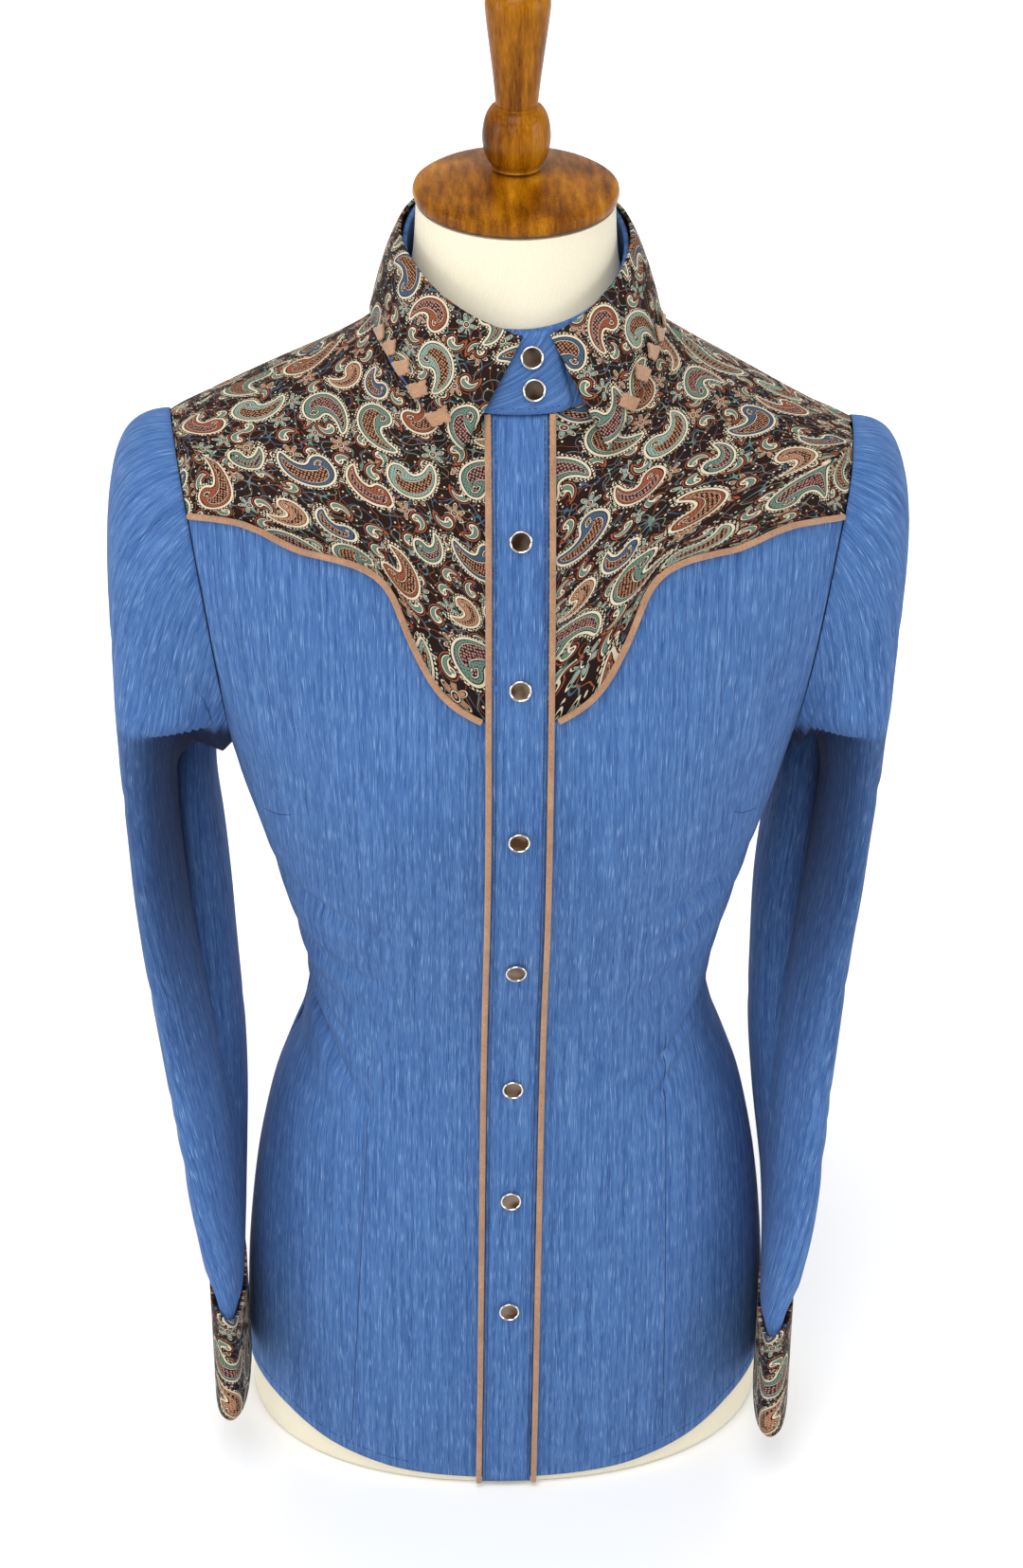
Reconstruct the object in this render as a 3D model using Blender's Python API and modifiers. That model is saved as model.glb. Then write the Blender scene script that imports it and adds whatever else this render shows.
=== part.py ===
"""A fitted western snap shirt on a limbless dress form.

Metres, +Z up.  The form's flat bottom stands on z = 0 with its middle at the origin, the
front faces -Y and the wearer's left is +X.  One table of level sections gives the outer
face of the worn cloth; the form is the same body moved in, and everything that lies on
the cloth is the same body moved out.
"""
import math

import bmesh
import bpy
from mathutils import Vector

MM = 0.001

# ------------------------------------------------------------------ driving sizes (mm)
CLOTH = 1.2            # wall of one layer of shirt cloth
GAP = 0.3              # between pieces that meet or touch
SEAM_GAP = 0.6         # upright gap at the slanting yoke seams, hidden by the piping
BODY_COLUMNS = 36      # points round one body section
SLEEVE_COLUMNS = 20    # points round one sleeve section
PRISM_STEPS = 12       # steps of a panel's outline through the body, for its skewed armhole
TURNED_SIDES = 24      # sides of the turned wood

SIDE_SEAM = 8.0        # the side and shoulder seams lie in the plane y = SIDE_SEAM
NECK_HEIGHT = 727.0    # height of the tilted neck seam on the form's axis
NECK_TILT = 0.348      # its rise for each mm towards the back
ARMHOLE_FOOT = 480.0   # lowest point of the armhole
ARMHOLE_OUT = 158.0    # its distance from the middle there
ARMHOLE_LEAN = 0.13    # how far the armhole plane leans out for each mm of height
ARMHOLE_SKEW = 0.10    # and for each mm towards the back
OVER_TOP = 760.0       # the yokes' outlines end here, above the shirt
ARMHOLE_CORNER = 474.0 # the panels' outlines turn out here, where the plane has left the body

# The worn cloth's outer face, level by level: height, half width, reach to the front and
# to the back, squareness of the section (2 is an ellipse), and room left over the form.
BODY = (
    # height  half_width  front   back  square  room
    (-16.0,      159.5,   112.0,  96.0,   2.25,  1.2),
    (8.0,        159.5,   112.0,  97.0,   2.25,  1.2),
    (36.0,       160.0,   111.5,  99.0,   2.25,  1.2),
    (70.0,       158.5,   110.0, 101.0,   2.25,  1.2),
    (101.0,      157.0,   108.0, 102.0,   2.25,  1.2),
    (140.0,      153.5,   104.5, 101.0,   2.25,  2.0),
    (171.0,      149.5,   102.5,  97.0,   2.25,  3.0),
    (196.0,      145.0,   100.0,  93.0,   2.25,  3.5),
    (225.0,      138.5,    97.5,  87.0,   2.2,   4.0),
    (253.0,      129.0,    95.5,  82.0,   2.2,   4.0),
    (280.0,      119.5,    94.0,  79.0,   2.2,   4.0),
    (300.0,      116.5,    94.0,  78.0,   2.2,   4.0),
    (321.0,      117.5,    95.0,  79.5,   2.2,   4.0),
    (348.0,      123.0,    98.5,  84.0,   2.2,   4.0),
    (374.0,      129.5,   103.5,  90.0,   2.2,   3.5),
    (400.0,      136.5,   109.0,  96.0,   2.2,   2.5),
    (426.0,      143.5,   113.5, 101.0,   2.2,   1.5),
    (453.0,      151.5,   116.0, 104.5,   2.2,   0.8),
    (475.0,      157.0,   117.0, 106.0,   2.2,   0.5),
    (500.0,      165.0,   116.5, 106.5,   2.2,   0.5),
    (530.0,      176.0,   114.5, 106.0,   2.2,   0.8),
    (560.0,      187.0,   111.0, 104.0,   2.2,   0.9),
    (590.0,      195.0,   106.5, 100.5,   2.2,   0.8),
    (615.0,      199.0,   102.0,  96.0,   2.2,   0.8),
    (638.0,      199.0,    97.0,  90.0,   2.15,  1.1),
    (654.0,      193.0,    93.0,  84.5,   2.1,   1.3),
    (665.0,      175.0,    89.0,  80.0,   2.05,  0.8),
    (680.0,      146.0,    83.0,  73.5,   2.0,   0.5),
    (700.0,      102.0,    75.0,  66.0,   2.0,   0.6),
    (712.0,       82.0,    70.0,  62.0,   2.0,   1.4),
    (726.0,       67.5,    65.5,  59.0,   2.0,   2.0),
    (742.0,       59.5,    60.0,  56.5,   2.0,   1.9),
    (762.0,       55.5,    56.0,  54.5,   2.0,   1.6),
    (790.0,       54.0,    54.2,  54.0,   2.0,   1.6),
)

# Levels of the form's rows: its height on the axis, and how far it leans like the neck seam.
FORM_ROWS = (0.0, 50.0, 120.0, 185.0, 238.0, 284.0, 326.0, 376.0, 428.0, 476.0, 504.0, 536.0,
             570.0, 604.0, 632.0, 652.0, 668.0, 684.0, 702.0, 727.0, 746.0, 765.0)

# Bust: two soft rises over the front of the sections.
BUST_OUT, BUST_HEIGHT = 68.0, 472.0
BUST_RISE, BUST_WIDE, BUST_TALL = 7.0, 36.0, 52.0

# Levels of the cloth's own rows; the rows above TILT_FROM lean step by step into the neck seam.
TORSO_ROWS = (-10.0, 20.0, 58.0, 98.0, 138.0, 172.0, 202.0, 230.0, 256.0, 281.0,
              304.0, 326.0, 350.0, 376.0, 402.0, 428.0, 452.0, 476.0, 504.0, 536.0, 570.0,
              604.0, 632.0, 652.0, 668.0, 684.0, 702.0, NECK_HEIGHT)
TILT_FROM = 604.0

# The front's folds: soft troughs across the waist where the cloth is drawn in.
FRONT_FOLDS = (
    # across  height  half_length  half_width  slope_deg  depth
    (-110.0,   391.0,         26.0,        8.0,     -12.0,   2.6),
    (-103.0,   348.0,         24.0,        8.0,     -10.0,   2.2),
    (-104.0,   291.0,         34.0,        9.0,     -42.0,   2.4),
    (-114.0,   258.0,         30.0,        9.0,     -50.0,   2.0),
    (106.0,    404.0,         24.0,        8.0,       6.0,   2.6),
    (98.0,     376.0,         24.0,        8.0,      10.0,   2.4),
    (86.0,     343.0,         24.0,        8.0,      14.0,   2.0),
    (99.0,     284.0,         36.0,        9.0,      48.0,   2.4),
)
BACK_FOLDS = (
    # across  height  half_length  half_width  slope_deg  depth
    (-70.0,    322.0,         34.0,       10.0,      12.0,   2.4),
    (66.0,     300.0,         36.0,       10.0,     -14.0,   2.6),
    (-40.0,    272.0,         30.0,       10.0,     -20.0,   2.0),
)

# Yoke seams seen from the front and from the back: distance from the middle, height.
YOKE_FRONT = ((0.0, 536.0), (18.0, 541.0), (30.0, 547.5), (39.0, 555.0), (46.0, 564.5),
              (52.0, 576.0), (57.0, 587.0), (61.5, 599.0), (65.5, 609.0), (70.5, 616.5),
              (78.0, 622.0), (88.0, 625.5), (100.0, 627.5), (112.0, 629.0), (122.0, 632.0),
              (133.0, 636.0), (145.0, 638.0), (157.0, 637.0), (171.0, 634.0), (215.0, 626.0))
YOKE_BACK = ((0.0, 548.0), (16.0, 552.0), (34.0, 562.0), (52.0, 578.0), (66.0, 594.0),
             (84.0, 604.0), (106.0, 608.0), (132.0, 608.0), (166.0, 606.0), (215.0, 605.0))
# Shirt-tail hem, the same front and back: distance from the middle, height.
HEM = ((0.0, 6.0), (42.0, 7.0), (58.0, 7.6), (70.0, 8.6), (82.0, 10.6), (96.0, 13.4),
       (110.0, 17.2), (122.0, 22.0), (135.0, 28.0), (146.0, 31.6), (154.0, 34.0), (162.0, 36.0),
       (215.0, 38.0))

# Placket down the front, with a piping at each edge.
PLACKET_HALF = 14.4
PLACKET_DRIFT, PLACKET_DRIFT_FROM = 3.0, 400.0    # it wanders this far to the right at the hem
PIPING_RADIUS = 1.7
FRONT_SNAPS = (640.0, 560.0, 470.0, 376.0, 287.5, 210.5, 133.0)
STAND_SNAPS = (0.70, 0.30)         # shares of the stand's height
STAND_SNAP_TURN = 4.6              # degrees from the middle
SNAP_RADIUS, SNAP_HEIGHT = 6.0, 2.4

# Sleeves, worn on the right (-X) side; the left one is drawn from its own rows.
SLEEVE_RIGHT = (
    # height  out    forward  half_long  half_thick  twist_deg
    (462.0,   190.5,    -2.0,      60.0,       19.0,      15.0),
    (436.0,   190.0,     0.0,      61.0,       17.5,      15.0),
    (400.0,   188.5,     3.0,      61.0,       16.5,      15.0),
    (355.0,   185.0,     6.0,      60.0,       16.5,      15.0),
    (310.0,   180.5,    10.0,      59.0,       16.0,      14.0),
    (265.0,   176.5,    16.0,      57.0,       15.0,      13.0),
    (222.0,   173.5,    24.0,      55.0,       13.5,      11.0),
    (184.0,   171.5,    33.0,      53.0,       12.0,       8.0),
    (150.0,   169.5,    42.0,      50.0,       10.5,       4.0),
    (122.0,   168.0,    49.0,      47.5,        9.0,       1.0),
)
SLEEVE_LEFT = (
    # height  out    forward  half_long  half_thick  twist_deg
    (453.0,   179.0,    -2.0,      60.0,       19.0,      15.0),
    (427.0,   177.0,     0.0,      61.0,       17.5,      15.0),
    (391.0,   174.0,     3.0,      61.0,       16.5,      15.0),
    (346.0,   169.0,     8.0,      60.0,       16.5,      15.0),
    (301.0,   166.0,    14.0,      59.0,       16.0,      14.0),
    (256.0,   164.5,    22.0,      57.0,       15.0,      12.0),
    (213.0,   165.0,    32.0,      55.0,       13.5,       9.0),
    (175.0,   165.5,    43.0,      53.0,       12.0,       4.0),
    (141.0,   163.5,    54.0,      50.0,       10.5,      -2.0),
    (112.0,   160.5,    62.0,      47.5,        9.0,      -6.0),
)
# Hollows pressed into both sleeves, and the crease where each head hangs over the arm.
SLEEVE_FOLDS = (
    # angle_deg  height  half_angle_deg  half_height  depth
    (118.0,       436.0,           46.0,        40.0,   9.0),
    (100.0,       508.0,           40.0,        16.0,  -3.5),
    (112.0,       350.0,           40.0,        60.0,   5.0),
    (60.0,        215.0,           50.0,        10.0,   2.0),
    (250.0,       300.0,           40.0,        50.0,   4.0),
    (240.0,       430.0,           40.0,        30.0,   5.0),
)
DROOP = 9.0               # the left shoulder hangs this much lower
DROOP_STEPS = 6           # points of an outline along the stretch that droops
DROOP_OUT, DROOP_UP = (70.0, 170.0), (600.0, 670.0)   # where the droop sets in, across and up
HEAD_ROWS = 8             # sections between the armhole and the first row above
HEAD_REACH = 148.0        # how strongly the sleeve head stands out of the armhole
HEAD_FALL = 210.0         # how strongly it turns down again
HEAD_TILT = 16.0          # the first row's rise on the outer side
SLEEVE_SQUARE = 2.3
SLEEVE_CLEAR = 3.0        # least room between a hanging sleeve and the shirt's body
CUFF_TALL = 68.0
CUFF_POINT = 9.0          # the cuff's top edge rises this far on its outer side
CUFF_WALL = 2.0
CUFF_HALF_LONG, CUFF_HALF_THICK = 47.0, 8.6
CUFF_TUCK = 5.0           # the sleeve's end reaches this far down inside the cuff
CUFF_SNAPS = (20.0, 48.0) # the snaps' distances below the cuff's top
CUFF_SNAP_ANGLE = math.radians(-27)
BINDING_RADIUS = 1.3

# Collar stand and collar.
STAND_WALL = 2.2
STAND_RISE = 40.0         # height of the stand at the front
STAND_RISE_BACK = 33.0
STAND_START, STAND_FINISH = -13.0, 377.0    # turns, in degrees, of its two overlapping ends
STAND_OVERLAP = 3.2       # how far the tab stands over the plain end
COLLAR_WALL = 1.6
COLLAR_ROLL = 4.5         # how full the fold is
COLLAR_REST = 5.6         # the fallen collar's edge over the yoke
COLLAR_MIDDLE = 7.0       # the collar's opening lies this many degrees to the left of the middle
COLLAR_FOLD = (
    # turn_deg from the opening, height of the fold
    (6.0,    741.0),
    (20.0,   747.0),
    (45.0,   757.0),
    (70.0,   766.0),
    (100.0,  772.0),
    (140.0,  775.0),
    (180.0,  776.0),
)
COLLAR_EDGE_RIGHT = (
    # turn_deg from the opening, distance from the axis seen from above
    (27.0,    85.0),
    (36.0,    83.5),
    (50.0,    78.5),
    (66.0,    73.5),
    (84.0,    71.0),
    (110.0,   71.0),
    (145.0,   72.0),
    (180.0,   72.0),
)
COLLAR_EDGE_LEFT = (
    # turn_deg from the opening, distance from the axis seen from above
    (22.5,    90.0),
    (32.0,    86.0),
    (46.0,    79.5),
    (62.0,    75.0),
    (80.0,    72.0),
    (110.0,   71.0),
    (145.0,   72.0),
    (180.0,   72.0),
)
COLLAR_COLUMNS, COLLAR_ROWS = 34, 6
LACE_PLACES = (0.075, 0.135, 0.195, 0.255, 0.315)     # along the collar's edge from its point
LACE_LONG, LACE_WIDE, LACE_THICK = 11.0, 7.5, 1.0

# Dress form: wooden cap and turned finial, radius and height down the outer side.
FORM_NECK_TOP = 786.0
CAP_PROFILE = ((0.0, 803.4), (9.0, 803.2), (14.0, 802.4), (30.0, 799.4), (44.0, 796.4),
               (50.5, 795.0), (52.8, 793.6), (53.3, 791.2), (52.4, 788.2), (49.6, 786.6),
               (0.0, 786.4))
FINIAL_PROFILE = ((0.0, 902.0), (9.0, 901.2), (14.5, 898.4), (16.6, 893.0), (16.4, 886.0),
                  (14.2, 868.0), (12.2, 852.0), (11.0, 840.0), (10.8, 837.6), (13.6, 836.0),
                  (16.2, 831.0), (17.5, 824.0), (17.4, 817.5), (15.6, 810.5), (12.8, 806.2),
                  (12.4, 804.6), (0.0, 803.7))

COLOURS = {
    # name: (red, green, blue), roughness, metallic
    "chambray": ((0.085, 0.165, 0.375), 0.85, 0.0),
    "paisley": ((0.090, 0.060, 0.045), 0.75, 0.0),
    "suede": ((0.300, 0.170, 0.095), 0.90, 0.0),
    "nickel": ((0.700, 0.680, 0.650), 0.18, 1.0),
    "jersey": ((0.780, 0.730, 0.620), 0.90, 0.0),
    "walnut": ((0.280, 0.100, 0.030), 0.35, 0.0),
}


# ------------------------------------------------------------------ reading the tables
def read(table, column, at):
    """Value of a column at a given first column, along a smooth curve with no overshoot."""
    rows = table if table[0][0] < table[-1][0] else table[::-1]
    if at <= rows[0][0]:
        return rows[0][column]
    if at >= rows[-1][0]:
        return rows[-1][column]
    i = max(k for k in range(len(rows) - 1) if rows[k][0] <= at)

    def slope(k):
        """Slope of the span from row k to the next."""
        return (rows[k + 1][column] - rows[k][column]) / (rows[k + 1][0] - rows[k][0])

    def tangent(k):
        """Tangent at row k: flat at a turning point, else the harmonic mean."""
        if k == 0:
            return slope(0)
        if k == len(rows) - 1:
            return slope(k - 1)
        before, after = slope(k - 1), slope(k)
        return 0.0 if before * after <= 0 else 2 * before * after / (before + after)

    span = rows[i + 1][0] - rows[i][0]
    s = (at - rows[i][0]) / span
    return ((1 + 2 * s) * (1 - s) ** 2 * rows[i][column] + s * (1 - s) ** 2 * span * tangent(i)
            + s * s * (3 - 2 * s) * rows[i + 1][column] + s * s * (s - 1) * span * tangent(i + 1))


def signed_power(value, power):
    """|value| to a power, with the value's sign."""
    return math.copysign(abs(value) ** power, value)


# ------------------------------------------------------------------ the body
def bust(x, z):
    """How far the bust lifts the front at x, z."""
    return BUST_RISE * math.exp(-((abs(x) - BUST_OUT) / BUST_WIDE) ** 2
                                - ((z - BUST_HEIGHT) / BUST_TALL) ** 2)


def fold_depth(folds, x, z):
    """Depth of the troughs at x, z of a front or back view."""
    total = 0.0
    for across, height, half_length, half_width, slope, depth in folds:
        lean = math.radians(slope)
        along = (x - across) * math.cos(lean) + (z - height) * math.sin(lean)
        beside = -(x - across) * math.sin(lean) + (z - height) * math.cos(lean)
        total += depth * math.exp(-(along / half_length) ** 2 - (beside / half_width) ** 2)
    return total


def section_point(turn, z):
    """Point of the cloth's outer face at height z; turn runs from the front to the left."""
    half, square = read(BODY, 1, z), read(BODY, 4, z)
    ahead = math.cos(turn)
    reach = read(BODY, 2 if ahead > 0 else 3, z)
    x = half * signed_power(math.sin(turn), 2 / square)
    y = -reach * signed_power(ahead, 2 / square)
    if ahead > 0:
        y -= bust(x, z) * min(1.0, 3 * ahead)
    return Vector((x, y, z))


def tilted_point(turn, height, tilt):
    """Where the body meets the plane that passes the axis at a height with a tilt."""
    z = height
    for _ in range(6):
        z = height + tilt * section_point(turn, z).y
    return section_point(turn, z)


def normal_at(turn, z):
    """Outward direction of the body."""
    step = 0.02
    across = section_point(turn + step, z) - section_point(turn - step, z)
    up = section_point(turn, z + 2.0) - section_point(turn, z - 2.0)
    return across.cross(up).normalized()


def moved(turn, point, out):
    """A body point moved out of the body by a distance."""
    return point + normal_at(turn, point.z) * out


def on_front(x, z, out, back=False):
    """Point over the front (or back) of the body at x, z."""
    half, square = read(BODY, 1, z), read(BODY, 4, z)
    side = math.asin(min(1.0, (abs(x) / half) ** (square / 2)))
    turn = math.copysign(side, x)
    if back:
        turn = math.pi - turn
    return moved(turn, section_point(turn, z), out)


def row_tilt(height):
    """Tilt of the row that passes the axis at a height."""
    rise = (height - TILT_FROM) / (NECK_HEIGHT - TILT_FROM)
    return NECK_TILT * max(0.0, min(1.0, rise)) ** 1.5


# ------------------------------------------------------------------ scene and meshes
def clear_scene():
    """Take away what the file opened with."""
    for thing in list(bpy.data.objects):
        bpy.data.objects.remove(thing, do_unlink=True)


def new_collection(name):
    """A collection under the scene."""
    collection = bpy.data.collections.new(name)
    bpy.context.scene.collection.children.link(collection)
    return collection


def material(name, kind):
    """A Principled material of one of the kinds above."""
    colour, rough, metal = COLOURS[kind]
    made = bpy.data.materials.new(name)
    made.use_nodes = True
    shader = made.node_tree.nodes["Principled BSDF"]
    shader.inputs["Base Color"].default_value = (*colour, 1.0)
    shader.inputs["Roughness"].default_value = rough
    shader.inputs["Metallic"].default_value = metal
    made.diffuse_color = (*colour, 1.0)
    return made


def add_object(name, mesh, kind, collection, sharp=50):
    """Place a mesh as a named piece with its own material."""
    piece = bpy.data.objects.new(name, mesh)
    collection.objects.link(piece)
    if kind:
        mesh.materials.append(material(name + "_finish", kind))
    mesh.shade_smooth()
    mesh.set_sharp_from_angle(angle=math.radians(sharp))
    return piece


def loft(name, rings, closed=True, caps=False, hollow=False):
    """A mesh through rings of equal count (mm).

    caps close the first and last ring; hollow joins the last ring to the first, for a
    wall whose rings run down its outside and back up its inside.
    """
    shape = bmesh.new()
    rows = [[shape.verts.new(drooped(point) * MM) for point in ring] for ring in rings]
    count = len(rows[0])
    for low, high in zip(rows, rows[1:] + (rows[:1] if hollow else [])):
        for i in range(count if closed else count - 1):
            j = (i + 1) % count
            shape.faces.new((low[i], low[j], high[j], high[i]))
    if caps:
        shape.faces.new(rows[0][::-1])
        shape.faces.new(rows[-1])
    if caps:
        bmesh.ops.recalc_face_normals(shape, faces=shape.faces)
    mesh = bpy.data.meshes.new(name)
    shape.to_mesh(mesh)
    shape.free()
    return mesh


def ease(value, span):
    """0 below a span, 1 above it, with a soft change between."""
    share = max(0.0, min(1.0, (value - span[0]) / (span[1] - span[0])))
    return share * share * (3 - 2 * share)


def drooped(point):
    """A point lowered by the droop of the left shoulder."""
    fall = DROOP * ease(point.x, DROOP_OUT) * ease(point.z, DROOP_UP)
    return Vector((point.x, point.y, point.z - fall))


def skewed(x, y):
    """Sideways shift of an outline's outer stretch, which follows the armhole's skew."""
    share = max(0.0, min(1.0, (abs(x) - 125.0) / 25.0))
    return math.copysign(share, x) * ARMHOLE_SKEW * y


def add_wall(piece, thickness, offset=-1.0):
    """Give an open surface its thickness."""
    wall = piece.modifiers.new("wall", "SOLIDIFY")
    wall.thickness = thickness * MM
    wall.offset = offset
    wall.use_even_offset = True


def prism(name, outline, near, far, collection):
    """A cutter with an outline in x, z (mm) that runs from y = near to y = far."""
    depths = [near + (far - near) * i / PRISM_STEPS for i in range(PRISM_STEPS + 1)]
    rings = [[Vector((x + skewed(x, y), y, z)) for x, z in outline] for y in depths]
    mesh = loft(name, rings, caps=True)
    cutter = bpy.data.objects.new(name, mesh)
    collection.objects.link(cutter)
    cutter.hide_render = True
    cutter.display_type = "WIRE"
    return cutter


def keep_inside(piece, cutter):
    """Keep only what lies inside the cutter."""
    cut = piece.modifiers.new("cut", "BOOLEAN")
    cut.operation = "INTERSECT"
    cut.solver = "EXACT"
    cut.object = cutter


def turned(name, profile, kind, collection, sides=TURNED_SIDES):
    """A turned piece from radius and height pairs, top to bottom, about Z."""
    shape = bmesh.new()
    verts = [shape.verts.new((radius * MM, 0, height * MM)) for radius, height in profile]
    for a, b in zip(verts, verts[1:]):
        shape.edges.new((a, b))
    mesh = bpy.data.meshes.new(name)
    shape.to_mesh(mesh)
    shape.free()
    piece = add_object(name, mesh, kind, collection)
    screw = piece.modifiers.new("turn", "SCREW")
    screw.steps = screw.render_steps = sides
    screw.use_merge_vertices = True
    screw.merge_threshold = 0.00001
    screw.use_smooth_shade = True
    return piece


def rod(name, points, radius, kind, collection, closed=False, rounds=1):
    """A round cord of cloth through points (mm), as a mesh with welded ends."""
    curve = bpy.data.curves.new(name, "CURVE")
    curve.dimensions = "3D"
    line = curve.splines.new("POLY")
    line.points.add(len(points) - 1)
    for knot, point in zip(line.points, points):
        knot.co = (*(drooped(point) * MM), 1.0)
    line.use_cyclic_u = closed
    curve.bevel_depth = radius * MM
    curve.bevel_resolution = rounds
    curve.use_fill_caps = not closed
    guide = bpy.data.objects.new(name + "_line", curve)
    collection.objects.link(guide)
    mesh = bpy.data.meshes.new_from_object(guide.evaluated_get(
        bpy.context.evaluated_depsgraph_get()))
    bpy.data.objects.remove(guide, do_unlink=True)
    shape = bmesh.new()
    shape.from_mesh(mesh)
    bmesh.ops.remove_doubles(shape, verts=shape.verts, dist=0.00001)
    bmesh.ops.recalc_face_normals(shape, faces=shape.faces)
    shape.to_mesh(mesh)
    shape.free()
    return add_object(name, mesh, kind, collection)


# ------------------------------------------------------------------ outlines of the panels
def armhole_x(z, y=0.0):
    """Distance of the armhole plane from the middle at a height, and at a depth."""
    return ARMHOLE_OUT + ARMHOLE_LEAN * (z - ARMHOLE_FOOT) + ARMHOLE_SKEW * y


def along(line, shift, side, limit=None):
    """Points of a seam line moved up by a shift, on one side, inwards of a limit."""
    return [(side * x, z + shift) for x, z in line if limit is None or x < limit(z)]


def armhole_line(side, start, end):
    """The panels' edge along the armhole, with points where the shoulder droops."""
    low, high = DROOP_UP
    between = [low + (high - low) * i / DROOP_STEPS for i in range(DROOP_STEPS + 1)]
    between = [z for z in between if min(start, end) < z < max(start, end)]
    heights = [start] + (between if end > start else between[::-1]) + [end]
    return [(side * (armhole_x(z) - GAP / 2), z) for z in heights]


def lower_panel(seam, side, middle):
    """Outline of a blue panel: middle, seam, armhole, side and hem, on one side."""
    top = along(seam, -SEAM_GAP / 2, side, lambda z: armhole_x(z) - 2)
    seam_end = top[-1][1]
    arm = armhole_line(side, seam_end, ARMHOLE_CORNER)
    outer = [(side * 260, ARMHOLE_CORNER), (side * 260, HEM[-1][1])]
    hem = along(HEM, 0, side)[::-1]
    line = [(side * middle, top[0][1])] + [p for p in top if abs(p[0]) > middle]
    return line + arm + outer + [p for p in hem if abs(p[0]) > middle] + [(side * middle, HEM[0][1])]


def upper_panel(seam, side, middle):
    """Outline of a yoke: middle, seam, armhole and over the top, on one side."""
    low = along(seam, SEAM_GAP / 2, side, lambda z: armhole_x(z) - 2)
    seam_end = low[-1][1]
    arm = armhole_line(side, seam_end, OVER_TOP)
    line = [(side * middle, low[0][1])] + [p for p in low if abs(p[0]) > middle]
    return line + arm + [(side * middle, OVER_TOP)]


# ------------------------------------------------------------------ the shirt's body
def shirt_surface():
    """The worn cloth's outer face from below the hem to the neck seam."""
    rings = []
    for height in TORSO_ROWS:
        ring = []
        for i in range(BODY_COLUMNS):
            turn = 2 * math.pi * (i + 0.5) / BODY_COLUMNS
            point = tilted_point(turn, height, row_tilt(height))
            folds = FRONT_FOLDS if point.y < 0 else BACK_FOLDS
            ring.append(moved(turn, point, -fold_depth(folds, point.x, point.z)))
        rings.append(ring)
    return loft("shirt_surface", rings)


def panel(name, surface, outline, near, far, kind, parts, cutters):
    """One panel of the shirt's body: the shared surface, walled and cut to its outline."""
    piece = add_object(name, surface.copy(), kind, parts)
    add_wall(piece, CLOTH)
    keep_inside(piece, prism(name + "_outline", outline, near, far, cutters))
    return piece


def build_shirt_body(parts, cutters):
    """Fronts, back and yokes."""
    surface = shirt_surface()
    front = (-220.0, SIDE_SEAM - GAP / 2)
    behind = (SIDE_SEAM + GAP / 2, 220.0)
    for side, word in ((-1, "right"), (1, "left")):
        panel("front_" + word, surface, lower_panel(YOKE_FRONT, side, 0.5), *front,
              "chambray", parts, cutters)
        panel("yoke_front_" + word, surface, upper_panel(YOKE_FRONT, side, 0.5), *front,
              "paisley", parts, cutters)
    whole = lower_panel(YOKE_BACK, 1, 0.0)[:-1]
    panel("back", surface, whole + [(-x, z) for x, z in whole[::-1]][:-1], *behind,
          "chambray", parts, cutters)
    whole = upper_panel(YOKE_BACK, 1, 0.0)[:-1]
    panel("yoke_back", surface, whole + [(-x, z) for x, z in whole[::-1]][:-1], *behind,
          "paisley", parts, cutters)
    bpy.data.meshes.remove(surface)


# ------------------------------------------------------------------ placket, piping, snaps
def placket_middle(z):
    """Where the placket's middle line runs."""
    return -PLACKET_DRIFT * max(0.0, 1 - z / PLACKET_DRIFT_FROM)


def neck_front(x):
    """Height of the neck seam at the front, at a distance from the middle."""
    z = NECK_HEIGHT
    for _ in range(8):
        z = NECK_HEIGHT + NECK_TILT * on_front(x, z, 0.0).y
    return z


def placket_rows():
    """Heights of the placket's rows, on the cloth's own rows between hem and neck."""
    top = neck_front(0.0) - 0.5
    return [4.5] + [z for z in TORSO_ROWS if 10 < z < top - 6] + [top]


def build_placket(parts):
    """The strip down the front and a piping beside each of its edges."""
    rings = []
    for z in placket_rows():
        rings.append([on_front(placket_middle(z) + across * PLACKET_HALF, z, GAP + 0.1)
                      for across in (-1.0, -0.5, 0.0, 0.5, 1.0)])
    strip = add_object("placket", loft("placket", rings, closed=False), "chambray", parts)
    add_wall(strip, CLOTH, offset=1.0)
    for side, word in ((-1, "right"), (1, "left")):
        beside = side * (PLACKET_HALF + GAP + PIPING_RADIUS)
        line = [on_front(placket_middle(z) + beside, z, PIPING_RADIUS + GAP + 0.15)
                for z in placket_rows()]
        rod("placket_piping_" + word, line, PIPING_RADIUS, "suede", parts)


def resample(line, step):
    """Points at even steps along a line of x, z pairs, through a smooth curve."""
    fine = []
    for i in range(len(line) - 1):
        before = line[max(i - 1, 0)]
        after = line[min(i + 2, len(line) - 1)]
        for k in range(8):
            s = k / 8
            point = []
            for c in (0, 1):
                a, b, p, q = line[i][c], line[i + 1][c], before[c], after[c]
                point.append(0.5 * (2 * a + (b - p) * s + (2 * p - 5 * a + 4 * b - q) * s * s
                                    + (3 * a - p - 3 * b + q) * s ** 3))
            fine.append(tuple(point))
    fine.append(line[-1])
    kept, run = [fine[0]], 0.0
    for a, b in zip(fine, fine[1:]):
        run += math.dist(a, b)
        if run >= step:
            kept.append(b)
            run = 0.0
    return kept


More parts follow.
